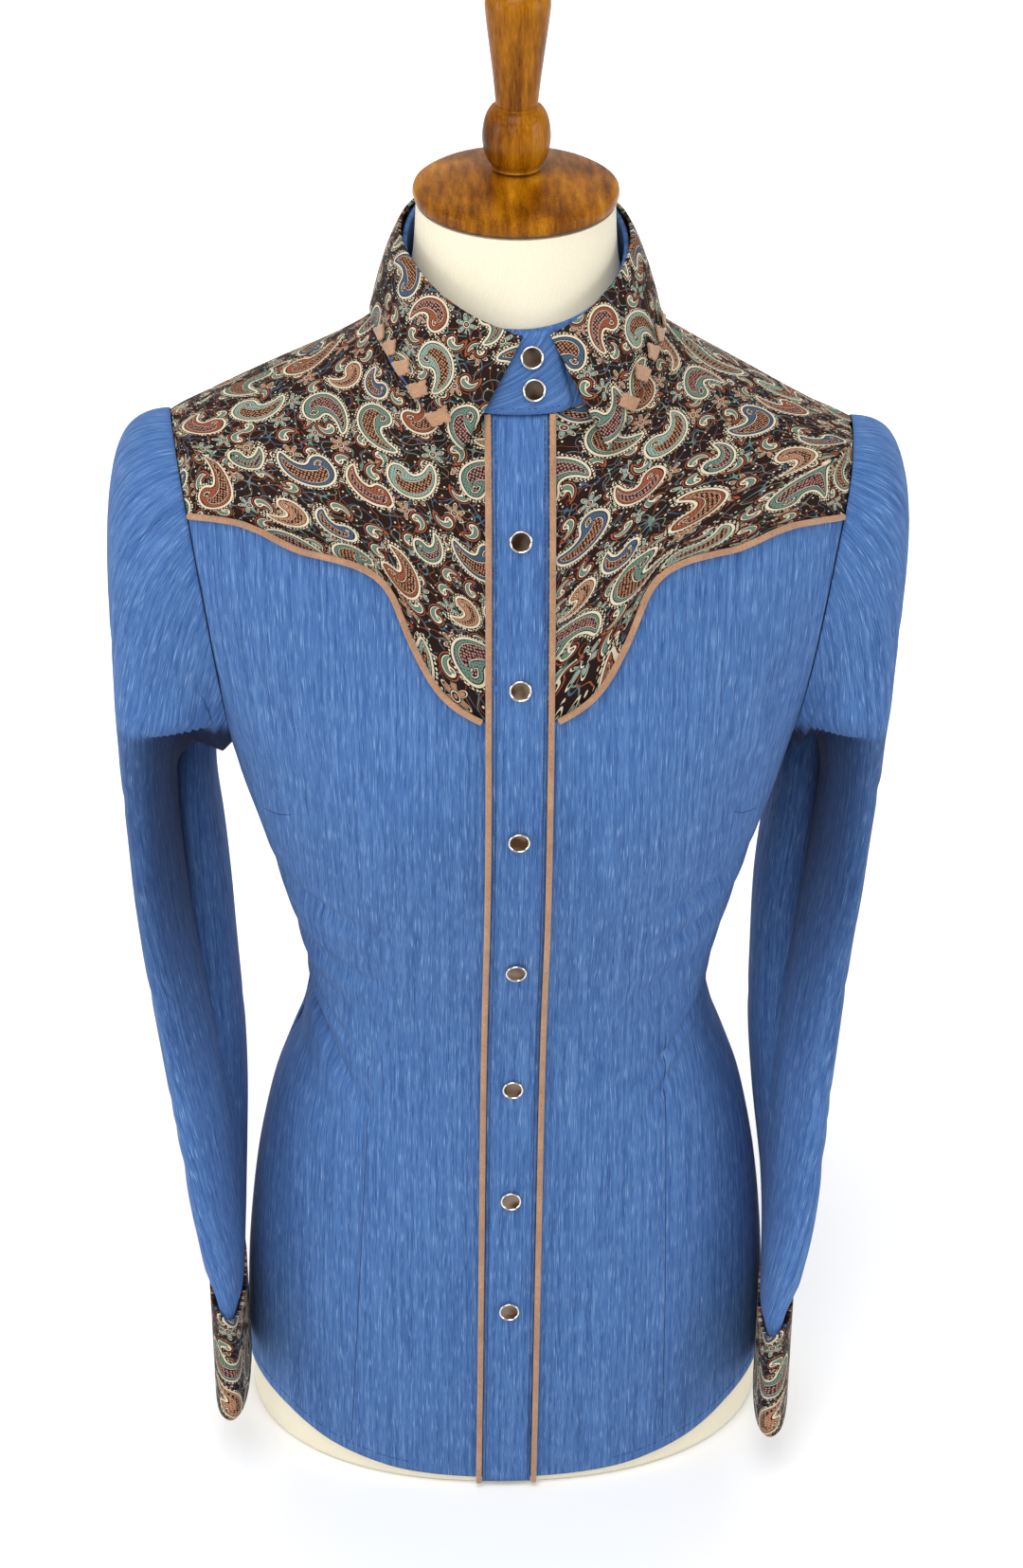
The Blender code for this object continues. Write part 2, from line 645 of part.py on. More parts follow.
def build_yoke_piping(parts):
    """A suede piping over each yoke seam."""
    rest = PIPING_RADIUS + GAP + 0.25
    start = PLACKET_HALF + 2 * (GAP + PIPING_RADIUS) + PIPING_RADIUS
    for side, word in ((-1, "right"), (1, "left")):
        line = [(x, z) for x, z in resample(YOKE_FRONT, 11.0)
                if start < x < armhole_x(z, on_front(x, z, 0.0).y) - PIPING_RADIUS - 0.5]
        rod("yoke_piping_front_" + word, [on_front(side * x, z, rest) for x, z in line],
            PIPING_RADIUS, "suede", parts)
    line = [(x, z) for x, z in resample(YOKE_BACK, 12.0) if x < armhole_x(z, on_front(x, z, 0.0, True).y) - PIPING_RADIUS - 0.5]
    both = [(-x, z) for x, z in line[:0:-1]] + line
    rod("yoke_piping_back", [on_front(x, z, rest, back=True) for x, z in both],
        PIPING_RADIUS, "suede", parts)


def build_snap(name, place, direction, parts, radius=SNAP_RADIUS):
    """A flat polished snap cap standing on a place, facing a direction."""
    top, edge = SNAP_HEIGHT, 0.7
    profile = ((0.0, top), (radius - edge, top), (radius, top - edge), (radius - 0.3, 0.0), (0.0, 0.0))
    snap = turned(name, profile, "nickel", parts, sides=14)
    snap.location = place * MM
    snap.rotation_mode = "QUATERNION"
    snap.rotation_quaternion = direction.to_track_quat("Z", "Y")
    return snap


def build_front_snaps(parts):
    """Snaps down the placket."""
    for i, z in enumerate(FRONT_SNAPS):
        x = placket_middle(z)
        base = on_front(x, z, 0.0)
        out = (on_front(x, z, 10.0) - base).normalized()
        build_snap(f"snap_front_{i + 1}", base + out * (CLOTH + 2 * GAP + 0.25), out, parts)


# ------------------------------------------------------------------ sleeves and cuffs
def inside_body(x, y, z):
    """Below zero inside the worn cloth's outer face."""
    half, square = read(BODY, 1, z), read(BODY, 4, z)
    reach = read(BODY, 2 if y < 0 else 3, z)
    return (abs(x) / half) ** square + (abs(y) / reach) ** square - 1


def armhole_point(side, angle):
    """Point of the armhole seam; angle 0 is its top and a quarter turn its front."""
    middle_z, low, high = 574.0, 10.0, 160.0
    shift = GAP / 2
    for _ in range(40):
        far = (low + high) / 2
        y, z = -far * math.sin(angle), middle_z + far * math.cos(angle)
        if inside_body(armhole_x(z, y) + shift, y, z) < 0:
            low = far
        else:
            high = far
    y, z = -low * math.sin(angle), middle_z + low * math.cos(angle)
    return Vector((side * (armhole_x(z, y) + shift), y, z))


def oval_point(side, row, angle, grow=0.0):
    """Point of a sleeve section; angle 0 is its outer side and a quarter turn its front."""
    height, out, forward, half_long, half_thick, twist = row
    turn = math.radians(twist)
    across = (half_thick + grow) * signed_power(math.cos(angle), 2 / SLEEVE_SQUARE)
    ahead = (half_long + grow) * signed_power(math.sin(angle), 2 / SLEEVE_SQUARE)
    x = out + across * math.cos(turn) + ahead * math.sin(turn)
    y = -forward - ahead * math.cos(turn) + across * math.sin(turn)
    return Vector((side * x, y, height))


def head_path(side, angle, first, s):
    """Point of the sleeve head between the armhole and the first sleeve section."""
    start = armhole_point(side, angle)
    end = oval_point(side, first, angle)
    end.z += HEAD_TILT * math.cos(angle)
    share = (1 + math.cos(angle)) / 2
    leave = Vector((side * (20 + HEAD_REACH * share), 0, -4 - 26 * (1 - share)))
    arrive = Vector((0, 0, -20 - HEAD_FALL * share))
    h00, h10 = (1 + 2 * s) * (1 - s) ** 2, s * (1 - s) ** 2
    h01, h11 = s * s * (3 - 2 * s), s * s * (s - 1)
    return start * h00 + leave * h10 + end * h01 + arrive * h11


def cleared(side, point):
    """A sleeve point below the armhole, moved out where it would touch the shirt's body."""
    below = ARMHOLE_FOOT + 4.0 - point.z
    if below <= 0:
        return point
    half, square = read(BODY, 1, point.z), read(BODY, 4, point.z)
    reach = read(BODY, 2 if point.y < 0 else 3, point.z)
    body_x = half * max(0.0, 1 - (abs(point.y) / reach) ** square) ** (1 / square)
    least = body_x + min(SLEEVE_CLEAR, GAP + 0.5 + 0.25 * below)
    return Vector((side * max(side * point.x, least), point.y, point.z))


def pressed(rows, side, angle, point):
    """A sleeve point pressed towards the sleeve's middle line by the hollows."""
    depth = 0.0
    for at, height, half_angle, half_height, deep in SLEEVE_FOLDS:
        off = (math.degrees(angle) - at + 180) % 360 - 180
        depth += deep * math.exp(-(off / half_angle) ** 2 - ((point.z - height) / half_height) ** 2)
    middle = Vector((side * read(rows, 1, point.z), -read(rows, 2, point.z), point.z))
    clear = side * point.x - armhole_x(point.z, point.y)
    free = 1.0 if point.z < ARMHOLE_FOOT else max(0.0, min(1.0, clear / 20 - 0.1))
    return point + (middle - point).normalized() * depth * free


def sleeve_rings(side, rows):
    """Sections of a sleeve from the armhole to the cuff."""
    angles = [2 * math.pi * i / SLEEVE_COLUMNS for i in range(SLEEVE_COLUMNS)]
    rings = [[head_path(side, a, rows[0], k / HEAD_ROWS) for a in angles]
             for k in range(HEAD_ROWS)]
    rings[2:] = [[pressed(rows, side, a, point) for a, point in zip(angles, ring)]
                 for ring in rings[2:]]
    rings[1:] = [[cleared(side, point) for point in ring] for ring in rings[1:]]
    for k, row in enumerate(rows[:-1]):
        tilt = HEAD_TILT * max(0.0, 1 - k / 4)
        ring = [oval_point(side, row, a) for a in angles]
        for a, point in zip(angles, ring):
            point.z += tilt * math.cos(a)
        rings.append([cleared(side, pressed(rows, side, a, p)) for a, p in zip(angles, ring)])
    tucked = -CUFF_WALL - GAP - 0.4
    for drop, grow in ((-9.0, 0.0), (-1.5, tucked), (CUFF_TUCK, tucked)):
        rings.append([cuff_point(side, rows, drop, a, grow) for a in angles])
    return rings


def cuff_row(rows, drop):
    """The cuff's section at a distance below its top."""
    height, out, forward, _, _, twist = rows[-1]
    return (height - drop, out - 0.02 * drop, forward + 0.16 * drop,
            CUFF_HALF_LONG, CUFF_HALF_THICK, twist)


def cuff_point(side, rows, drop, angle, grow=0.0):
    """Point of the cuff at a distance below its top edge, which is pointed on its outer side."""
    point = oval_point(side, cuff_row(rows, drop), angle, grow)
    point.z += CUFF_POINT * math.cos(angle) * (1 - drop / CUFF_TALL)
    return point


def build_sleeve(side, word, rows, parts):
    """One sleeve with its cuff, the binding under it and two snaps."""
    rings = sleeve_rings(side, rows)
    mesh = loft("sleeve_" + word, rings if side > 0 else [ring[::-1] for ring in rings])
    sleeve = add_object("sleeve_" + word, mesh, "chambray", parts)
    add_wall(sleeve, CLOTH)
    angles = [2 * math.pi * i / SLEEVE_COLUMNS for i in range(SLEEVE_COLUMNS)]
    drops = (0.0, CUFF_TALL / 2, CUFF_TALL)
    rings = [[cuff_point(side, rows, drop, a) for a in angles] for drop in drops]
    rings += [[cuff_point(side, rows, drop, a, -CUFF_WALL) for a in angles] for drop in drops[::-1]]
    mesh = loft("cuff_" + word, rings if side > 0 else [ring[::-1] for ring in rings], hollow=True)
    add_object("cuff_" + word, mesh, "paisley", parts)
    low = CUFF_TALL + GAP + BINDING_RADIUS + 0.1
    rod("cuff_binding_" + word, [cuff_point(side, rows, low, a, -CUFF_WALL / 2) for a in angles],
        BINDING_RADIUS, "suede", parts, closed=True, rounds=0)
    for i, drop in enumerate(CUFF_SNAPS):
        here, beside = (cuff_point(side, rows, drop, CUFF_SNAP_ANGLE + a) for a in (0.0, 0.1))
        below = cuff_point(side, rows, drop + 5, CUFF_SNAP_ANGLE)
        out = (beside - here).cross(below - here).normalized()
        out = out if out.x * side > 0 else -out
        build_snap(f"snap_cuff_{word}_{i + 1}", here + out * (GAP + 0.2), out, parts)


# ------------------------------------------------------------------ collar
def stand_point(turn, rise, out):
    """Point of the stand's band: turn from the front, share of its height, distance out."""
    low = tilted_point(turn, NECK_HEIGHT, NECK_TILT)
    low.z += GAP + NECK_TILT * STAND_WALL + 0.1
    back = (1 - math.cos(turn)) / 2
    tall = STAND_RISE + (STAND_RISE_BACK - STAND_RISE) * back
    spot = section_point(turn, low.z + rise * tall)
    away = Vector((spot.x, spot.y, 0)).normalized()
    return spot + away * (STAND_WALL - CLOTH + 2.0 * rise + out)


def build_stand(parts):
    """The collar's band, from its plain end under the throat round to the tab over it."""
    start, finish = math.radians(STAND_START), math.radians(STAND_FINISH)
    steps = 38
    rings = [[], [], []]
    for i in range(steps + 1):
        s = i / steps
        turn = start + (finish - start) * s
        lift = STAND_OVERLAP * max(0.0, min(1.0, (turn - math.radians(300)) / math.radians(40)))
        left = min(1.0, (finish - turn) / math.radians(6))
        corner = 0.12 * (1 - math.sqrt(1 - (1 - left) ** 2))
        for ring, rise in zip(rings, (0.0 + corner, 0.5, 1.0 - corner)):
            ring.append(stand_point(turn, rise, lift))
    turn = math.radians(STAND_SNAP_TURN)
    for i, rise in enumerate(STAND_SNAPS):
        here = stand_point(turn, rise, STAND_OVERLAP)
        beside = stand_point(turn + 0.05, rise, STAND_OVERLAP) - here
        out = beside.cross(stand_point(turn, rise + 0.1, STAND_OVERLAP) - here).normalized()
        build_snap(f"snap_stand_{i + 1}", here + out * (GAP + 0.5), out, parts)
    stand = add_object("collar_stand", loft("collar_stand", rings, closed=False), "chambray", parts)
    add_wall(stand, STAND_WALL)


def collar_fold_point(turn):
    """Point of the collar's fold line, lifted over the stand's overlap at the front."""
    around = math.degrees(turn) + COLLAR_MIDDLE
    lift = STAND_OVERLAP * max(0.0, min(1.0, (around + 60) / 40)) * max(0.0, min(1.0, (45 - around) / 25))
    spot = stand_point(math.radians(around), 1.0, COLLAR_WALL / 2 + GAP + 0.4 + lift)
    spot.z = read(COLLAR_FOLD, 1, math.degrees(abs(turn)))
    return spot


def collar_edge_point(turn):
    """Point of the fallen edge, over the yoke at a distance from the axis."""
    table = COLLAR_EDGE_LEFT if turn > 0 else COLLAR_EDGE_RIGHT
    reach = read(table, 1, math.degrees(abs(turn)))
    turn += math.radians(COLLAR_MIDDLE)
    x, y = reach * math.sin(turn), -reach * math.cos(turn)
    low, high = 560.0, 770.0
    for _ in range(40):
        z = (low + high) / 2
        if inside_body(x, y, z) < 0:
            low = z
        else:
            high = z
    back = y > 0
    on = on_front(x, min(low, 728.0), 0.0, back)
    return on + (on_front(x, min(low, 728.0), 10.0, back) - on).normalized() * COLLAR_REST


def collar_point(s, v):
    """Point of the collar: s runs from -1 (right tip) to 1 (left tip), v from fold to edge."""
    first_fold = math.radians(COLLAR_FOLD[0][0])
    share, side = 1 - abs(s), math.copysign(1, s)
    table = COLLAR_EDGE_LEFT if side > 0 else COLLAR_EDGE_RIGHT
    first_edge = math.radians(table[0][0])
    fold = collar_fold_point(side * (first_fold + (math.pi - first_fold) * share))
    edge = collar_edge_point(side * (first_edge + (math.pi - first_edge) * share))
    flat = Vector((fold.x, fold.y, 0)).normalized()
    roll = fold + flat * COLLAR_ROLL + (edge - fold) * 0.30
    return fold * (1 - v) ** 2 + roll * 2 * v * (1 - v) + edge * v * v


def build_collar(parts):
    """The fallen collar and the suede lacing over its edge."""
    rings = []
    for r in range(COLLAR_ROWS + 1):
        v = r / COLLAR_ROWS
        rings.append([collar_point(-1 + 2 * c / COLLAR_COLUMNS, v)
                      for c in range(COLLAR_COLUMNS + 1)])
    collar = add_object("collar", loft("collar", rings, closed=False), "paisley", parts)
    add_wall(collar, COLLAR_WALL, offset=0.0)
    for side, word in ((-1, "right"), (1, "left")):
        for i, place in enumerate(LACE_PLACES):
            build_lace(f"lacing_{word}_{i + 1}", side, place, parts)


def build_lace(name, side, place, parts):
    """One stitch of lacing: a short strap over the collar's edge."""
    s = side * (1 - place)
    aside = (collar_point(s + 0.02, 1.0) - collar_point(s - 0.02, 1.0)).normalized()
    tall = (collar_point(s, 1.0) - collar_point(s, 0.8)).length / 0.2
    over = (COLLAR_WALL + LACE_THICK) / 2 + GAP + 0.8
    centre = []
    for run, high in ((LACE_LONG, over + 0.5), (6.0, over), (0.4, over + 0.1),
                      (-1.5, 1.0), (-1.5, -1.0), (0.4, -over - 0.1), (1.6, -over)):
        v = 1 - max(run, 0.0) / tall
        into = (collar_point(s, v - 0.1) - collar_point(s, v)).normalized()
        up = into.cross(aside).normalized()
        up = up if up.z > 0 else -up
        centre.append(collar_point(s, v) + up * high + into * min(run, 0.0))
    rings = [[point + aside * across * LACE_WIDE for point in centre] for across in (-0.5, 0.5)]
    strap = add_object(name, loft(name, rings, closed=False), "suede", parts)
    add_wall(strap, LACE_THICK, offset=0.0)


# ------------------------------------------------------------------ the form
def build_form(parts, cutters):
    """The limbless torso, its wooden neck cap and the turned finial."""
    rings = []
    for height in (*FORM_ROWS, FORM_NECK_TOP):
        ends = height in (0.0, FORM_NECK_TOP)
        above = max(0.0, height - NECK_HEIGHT) / (FORM_NECK_TOP - NECK_HEIGHT)
        tilt = row_tilt(height) * (1 - above)
        ring = []
        for i in range(BODY_COLUMNS):
            turn = 2 * math.pi * (i + 0.5) / BODY_COLUMNS
            point = tilted_point(turn, height, tilt)
            point = moved(turn, point, -CLOTH - read(BODY, 5, height))
            ring.append(Vector((point.x, point.y, height)) if ends else point)
        rings.append(ring)
    torso = add_object("form_torso", loft("form_torso", rings, caps=True), "jersey", parts)
    plate = 7.0
    side = [(260.0, -20.0), (260.0, 462.0), (armhole_x(462.0) - plate, 466.0),
            (armhole_x(690.0) - plate, 690.0), (90.0, 800.0)]
    keep_inside(torso, prism("form_outline", side + [(-x, z) for x, z in side[::-1]],
                             -220.0, 220.0, cutters))
    turned("neck_cap", CAP_PROFILE, "walnut", parts)
    turned("finial", FINIAL_PROFILE, "walnut", parts, sides=18)


def main():
    """Build the whole part."""
    clear_scene()
    parts = new_collection("western_snap_shirt_on_form")
    cutters = new_collection("cutters")
    build_form(parts, cutters)
    build_shirt_body(parts, cutters)
    build_placket(parts)
    build_yoke_piping(parts)
    build_front_snaps(parts)
    build_sleeve(-1, "right", SLEEVE_RIGHT, parts)
    build_sleeve(1, "left", SLEEVE_LEFT, parts)
    build_stand(parts)
    build_collar(parts)


main()
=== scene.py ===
"""Finished look of a western snap shirt on a limbless dress form.

Sizes are in millimetres until a piece is made. X runs to the wearer's left, Y to the back and
Z up. Each cloth piece is a fine face laid on the form that its solid has, with its creases
pressed in, and carries a UV map in metres of flat cloth for its weave or print.
"""
import math

import bmesh
import bpy
from mathutils import Matrix, Vector, noise


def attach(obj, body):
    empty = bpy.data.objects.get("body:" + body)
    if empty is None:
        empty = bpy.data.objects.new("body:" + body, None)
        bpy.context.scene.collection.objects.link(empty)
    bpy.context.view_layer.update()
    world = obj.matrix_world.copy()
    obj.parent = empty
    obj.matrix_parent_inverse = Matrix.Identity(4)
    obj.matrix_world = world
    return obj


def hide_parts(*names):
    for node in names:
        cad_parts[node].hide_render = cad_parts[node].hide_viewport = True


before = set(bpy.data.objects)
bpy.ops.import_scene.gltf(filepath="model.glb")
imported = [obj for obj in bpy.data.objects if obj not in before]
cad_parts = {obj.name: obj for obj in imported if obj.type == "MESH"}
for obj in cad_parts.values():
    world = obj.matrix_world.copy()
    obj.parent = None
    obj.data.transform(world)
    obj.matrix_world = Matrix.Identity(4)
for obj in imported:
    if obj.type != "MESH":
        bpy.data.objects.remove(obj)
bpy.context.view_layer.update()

MM = 0.001
SIDES = ((-1, "right"), (1, "left"))    # the wearer's sides, as the sign of X
CLOTH = 1.2                             # the cloth's wall
GAP = 0.3                               # between pieces that touch
SEAM_HALF = 0.3                         # from a yoke seam to each panel beside it
SIDE_SEAM = 8.0                         # how far behind the middle the side seam runs
NECK_HEIGHT, NECK_TILT = 727.0, 0.348
ARMHOLE_FOOT, ARMHOLE_OUT, ARMHOLE_LEAN, ARMHOLE_SKEW = 480.0, 158.0, 0.13, 0.10
ARMHOLE_CORNER = 474.0
ARMHOLE_MIDDLE, ARMHOLE_REACH = 574.0, (10.0, 160.0)
FRONT_YOKE_CROWD, BACK_YOKE_CROWD = 0.39, 0.4737    # where the rows of a yoke are crowded
SETTLE_STEPS, SETTLE_SHARE = 14, 0.55   # to find the height of a row between slanting edges
TILT_FROM = 604.0
DROOP = 9.0
DROOP_OUT, DROOP_UP = (70.0, 170.0), (600.0, 670.0)

BODY = (
    # height  half_width  front   back  square  room
    (-16.0,      159.5,   112.0,  96.0,   2.25,  1.2),
    (8.0,        159.5,   112.0,  97.0,   2.25,  1.2),
    (36.0,       160.0,   111.5,  99.0,   2.25,  1.2),
    (70.0,       158.5,   110.0, 101.0,   2.25,  1.2),
    (101.0,      157.0,   108.0, 102.0,   2.25,  1.2),
    (140.0,      153.5,   104.5, 101.0,   2.25,  2.0),
    (171.0,      149.5,   102.5,  97.0,   2.25,  3.0),
    (196.0,      145.0,   100.0,  93.0,   2.25,  3.5),
    (225.0,      138.5,    97.5,  87.0,   2.2,   4.0),
    (253.0,      129.0,    95.5,  82.0,   2.2,   4.0),
    (280.0,      119.5,    94.0,  79.0,   2.2,   4.0),
    (300.0,      116.5,    94.0,  78.0,   2.2,   4.0),
    (321.0,      117.5,    95.0,  79.5,   2.2,   4.0),
    (348.0,      123.0,    98.5,  84.0,   2.2,   4.0),
    (374.0,      129.5,   103.5,  90.0,   2.2,   3.5),
    (400.0,      136.5,   109.0,  96.0,   2.2,   2.5),
    (426.0,      143.5,   113.5, 101.0,   2.2,   1.5),
    (453.0,      151.5,   116.0, 104.5,   2.2,   0.8),
    (475.0,      157.0,   117.0, 106.0,   2.2,   0.5),
    (500.0,      165.0,   116.5, 106.5,   2.2,   0.5),
    (530.0,      176.0,   114.5, 106.0,   2.2,   0.8),
    (560.0,      187.0,   111.0, 104.0,   2.2,   0.9),
    (590.0,      195.0,   106.5, 100.5,   2.2,   0.8),
    (615.0,      199.0,   102.0,  96.0,   2.2,   0.8),
    (638.0,      199.0,    97.0,  90.0,   2.15,  1.1),
    (654.0,      193.0,    93.0,  84.5,   2.1,   1.3),
    (665.0,      175.0,    89.0,  80.0,   2.05,  0.8),
    (680.0,      146.0,    83.0,  73.5,   2.0,   0.5),
    (700.0,      102.0,    75.0,  66.0,   2.0,   0.6),
    (712.0,       82.0,    70.0,  62.0,   2.0,   1.4),
    (726.0,       67.5,    65.5,  59.0,   2.0,   2.0),
    (742.0,       59.5,    60.0,  56.5,   2.0,   1.9),
    (762.0,       55.5,    56.0,  54.5,   2.0,   1.6),
    (790.0,       54.0,    54.2,  54.0,   2.0,   1.6),
)
BUST_OUT, BUST_HEIGHT = 68.0, 472.0
BUST_RISE, BUST_WIDE, BUST_TALL = 7.0, 36.0, 52.0

FRONT_FOLDS = (
    # across  height  half_length  half_width  slope_deg  depth
    (-110.0,   391.0,         26.0,        8.0,     -12.0,   2.6),
    (-103.0,   348.0,         24.0,        8.0,     -10.0,   2.2),
    (-104.0,   291.0,         34.0,        9.0,     -42.0,   2.4),
    (-114.0,   258.0,         30.0,        9.0,     -50.0,   2.0),
    (106.0,    404.0,         24.0,        8.0,       6.0,   2.6),
    (98.0,     376.0,         24.0,        8.0,      10.0,   2.4),
    (86.0,     343.0,         24.0,        8.0,      14.0,   2.0),
    (99.0,     284.0,         36.0,        9.0,      48.0,   2.4),
)
BACK_FOLDS = (
    # across  height  half_length  half_width  slope_deg  depth
    (-70.0,    322.0,         34.0,       10.0,      12.0,   2.4),
    (66.0,     300.0,         36.0,       10.0,     -14.0,   2.6),
    (-40.0,    272.0,         30.0,       10.0,     -20.0,   2.0),
)
YOKE_FRONT = ((0.0, 536.0), (18.0, 541.0), (30.0, 547.5), (39.0, 555.0), (46.0, 564.5),
              (52.0, 576.0), (57.0, 587.0), (61.5, 599.0), (65.5, 609.0), (70.5, 616.5),
              (78.0, 622.0), (88.0, 625.5), (100.0, 627.5), (112.0, 629.0), (122.0, 632.0),
              (133.0, 636.0), (145.0, 638.0), (157.0, 637.0), (171.0, 634.0), (215.0, 626.0))
YOKE_BACK = ((0.0, 548.0), (16.0, 552.0), (34.0, 562.0), (52.0, 578.0), (66.0, 594.0),
             (84.0, 604.0), (106.0, 608.0), (132.0, 608.0), (166.0, 606.0), (215.0, 605.0))
HEM = ((0.0, 6.0), (42.0, 7.0), (58.0, 7.6), (70.0, 8.6), (82.0, 10.6), (96.0, 13.4),
       (110.0, 17.2), (122.0, 22.0), (135.0, 28.0), (146.0, 31.6), (154.0, 34.0), (162.0, 36.0),
       (215.0, 38.0))

PLACKET_HALF, PLACKET_FOOT = 14.4, 4.5
PLACKET_DRIFT, PLACKET_DRIFT_FROM = 3.0, 400.0
PIPING_RADIUS = 1.7
FRONT_SNAPS = (640.0, 560.0, 470.0, 376.0, 287.5, 210.5, 133.0)
STAND_SNAPS = (0.70, 0.30)
STAND_SNAP_TURN = 4.6

SLEEVE_RIGHT = (
    # height  out    forward  half_long  half_thick  twist_deg
    (462.0,   190.5,    -2.0,      60.0,       19.0,      15.0),
    (436.0,   190.0,     0.0,      61.0,       17.5,      15.0),
    (400.0,   188.5,     3.0,      61.0,       16.5,      15.0),
    (355.0,   185.0,     6.0,      60.0,       16.5,      15.0),
    (310.0,   180.5,    10.0,      59.0,       16.0,      14.0),
    (265.0,   176.5,    16.0,      57.0,       15.0,      13.0),
    (222.0,   173.5,    24.0,      55.0,       13.5,      11.0),
    (184.0,   171.5,    33.0,      53.0,       12.0,       8.0),
    (150.0,   169.5,    42.0,      50.0,       10.5,       4.0),
    (122.0,   168.0,    49.0,      47.5,        9.0,       1.0),
)
SLEEVE_LEFT = (
    # height  out    forward  half_long  half_thick  twist_deg
    (453.0,   179.0,    -2.0,      60.0,       19.0,      15.0),
    (427.0,   177.0,     0.0,      61.0,       17.5,      15.0),
    (391.0,   174.0,     3.0,      61.0,       16.5,      15.0),
    (346.0,   169.0,     8.0,      60.0,       16.5,      15.0),
    (301.0,   166.0,    14.0,      59.0,       16.0,      14.0),
    (256.0,   164.5,    22.0,      57.0,       15.0,      12.0),
    (213.0,   165.0,    32.0,      55.0,       13.5,       9.0),
    (175.0,   165.5,    43.0,      53.0,       12.0,       4.0),
    (141.0,   163.5,    54.0,      50.0,       10.5,      -2.0),
    (112.0,   160.5,    62.0,      47.5,        9.0,      -6.0),
)
SLEEVE_FOLDS = (
    # angle_deg  height  half_angle_deg  half_height  depth  rise_per_deg
    (118.0,       436.0,           46.0,        40.0,   9.0,   0.0),
    (100.0,       508.0,           40.0,        16.0,  -3.5,   0.0),
    (112.0,       350.0,           40.0,        60.0,   5.0,   0.0),
    (60.0,        215.0,           50.0,        10.0,   2.0,   0.0),
    (250.0,       300.0,           40.0,        50.0,   4.0,   0.0),
    (240.0,       430.0,           40.0,        30.0,   5.0,   0.0),
)
HEAD_REACH, HEAD_FALL, HEAD_TILT = 148.0, 210.0, 16.0
SLEEVE_SQUARE, SLEEVE_CLEAR = 2.3, 3.0
CUFF_TALL, CUFF_POINT, CUFF_WALL = 68.0, 9.0, 2.0
CUFF_HALF_LONG, CUFF_HALF_THICK, CUFF_TUCK = 47.0, 8.6, 5.0
CUFF_SNAPS = (20.0, 48.0)
CUFF_SNAP_ANGLE = math.radians(-27)
BINDING_RADIUS = 1.3

STAND_WALL, STAND_RISE, STAND_RISE_BACK = 2.2, 40.0, 33.0
STAND_START, STAND_FINISH, STAND_OVERLAP = -13.0, 377.0, 3.2
COLLAR_WALL, COLLAR_ROLL, COLLAR_REST, COLLAR_MIDDLE = 1.6, 4.5, 5.6, 7.0
COLLAR_SEARCH, COLLAR_TOP = (560.0, 770.0), 728.0   # heights between which its edge lies, and its limit
COLLAR_FOLD = (
    # turn_deg from the opening, height of the fold
    (6.0, 741.0), (20.0, 747.0), (45.0, 757.0), (70.0, 766.0), (100.0, 772.0), (140.0, 775.0),
    (180.0, 776.0),
)
COLLAR_EDGE_RIGHT = (
    # turn_deg from the opening, distance from the axis seen from above
    (27.0, 85.0), (36.0, 83.5), (50.0, 78.5), (66.0, 73.5), (84.0, 71.0), (110.0, 71.0),
    (145.0, 72.0), (180.0, 72.0),
)
COLLAR_EDGE_LEFT = (
    # turn_deg from the opening, distance from the axis seen from above
    (22.5, 90.0), (32.0, 86.0), (46.0, 79.5), (62.0, 75.0), (80.0, 72.0), (110.0, 71.0),
    (145.0, 72.0), (180.0, 72.0),
)
LACE_PLACES = (0.075, 0.135, 0.195, 0.255, 0.315)
LACE_LONG, LACE_WIDE, LACE_THICK = 11.0, 7.5, 1.0

FORM_NECK_TOP = 786.0
CAP_PROFILE = ((0.0, 803.4), (9.0, 803.2), (14.0, 802.4), (30.0, 799.4), (44.0, 796.4),
               (50.5, 795.0), (52.8, 793.6), (53.3, 791.2), (52.4, 788.2), (49.6, 786.6),
               (0.0, 786.4))
FINIAL_PROFILE = ((0.0, 902.0), (9.0, 901.2), (14.5, 898.4), (16.6, 893.0), (16.4, 886.0),
                  (14.2, 868.0), (12.2, 852.0), (11.0, 840.0), (10.8, 837.6), (13.6, 836.0),
                  (16.2, 831.0), (17.5, 824.0), (17.4, 817.5), (15.6, 810.5), (12.8, 806.2),
                  (12.4, 804.6), (0.0, 803.7))


# ------------------------------------------------------------------ reading the tables
def read(table, column, at):
    """Value of a column at a given first column, along a smooth curve with no overshoot."""
    rows = table if table[0][0] < table[-1][0] else table[::-1]
    if at <= rows[0][0]:
        return rows[0][column]
    if at >= rows[-1][0]:
        return rows[-1][column]
    i = max(k for k in range(len(rows) - 1) if rows[k][0] <= at)

    def slope(k):
        """Slope of the span from row k to the next."""
        return (rows[k + 1][column] - rows[k][column]) / (rows[k + 1][0] - rows[k][0])

    def tangent(k):
        """Tangent at row k: flat at a turning point, else the harmonic mean."""
        if k == 0:
            return slope(0)
        if k == len(rows) - 1:
            return slope(k - 1)
        before, after = slope(k - 1), slope(k)
        return 0.0 if before * after <= 0 else 2 * before * after / (before + after)

    span = rows[i + 1][0] - rows[i][0]
    s = (at - rows[i][0]) / span
    return ((1 + 2 * s) * (1 - s) ** 2 * rows[i][column] + s * (1 - s) ** 2 * span * tangent(i)
            + s * s * (3 - 2 * s) * rows[i + 1][column] + s * s * (s - 1) * span * tangent(i + 1))


def listed(table, column, low, high):
    """A column read at every millimetre, for quick use."""
    return [read(table, column, z) for z in range(low, high + 1)]


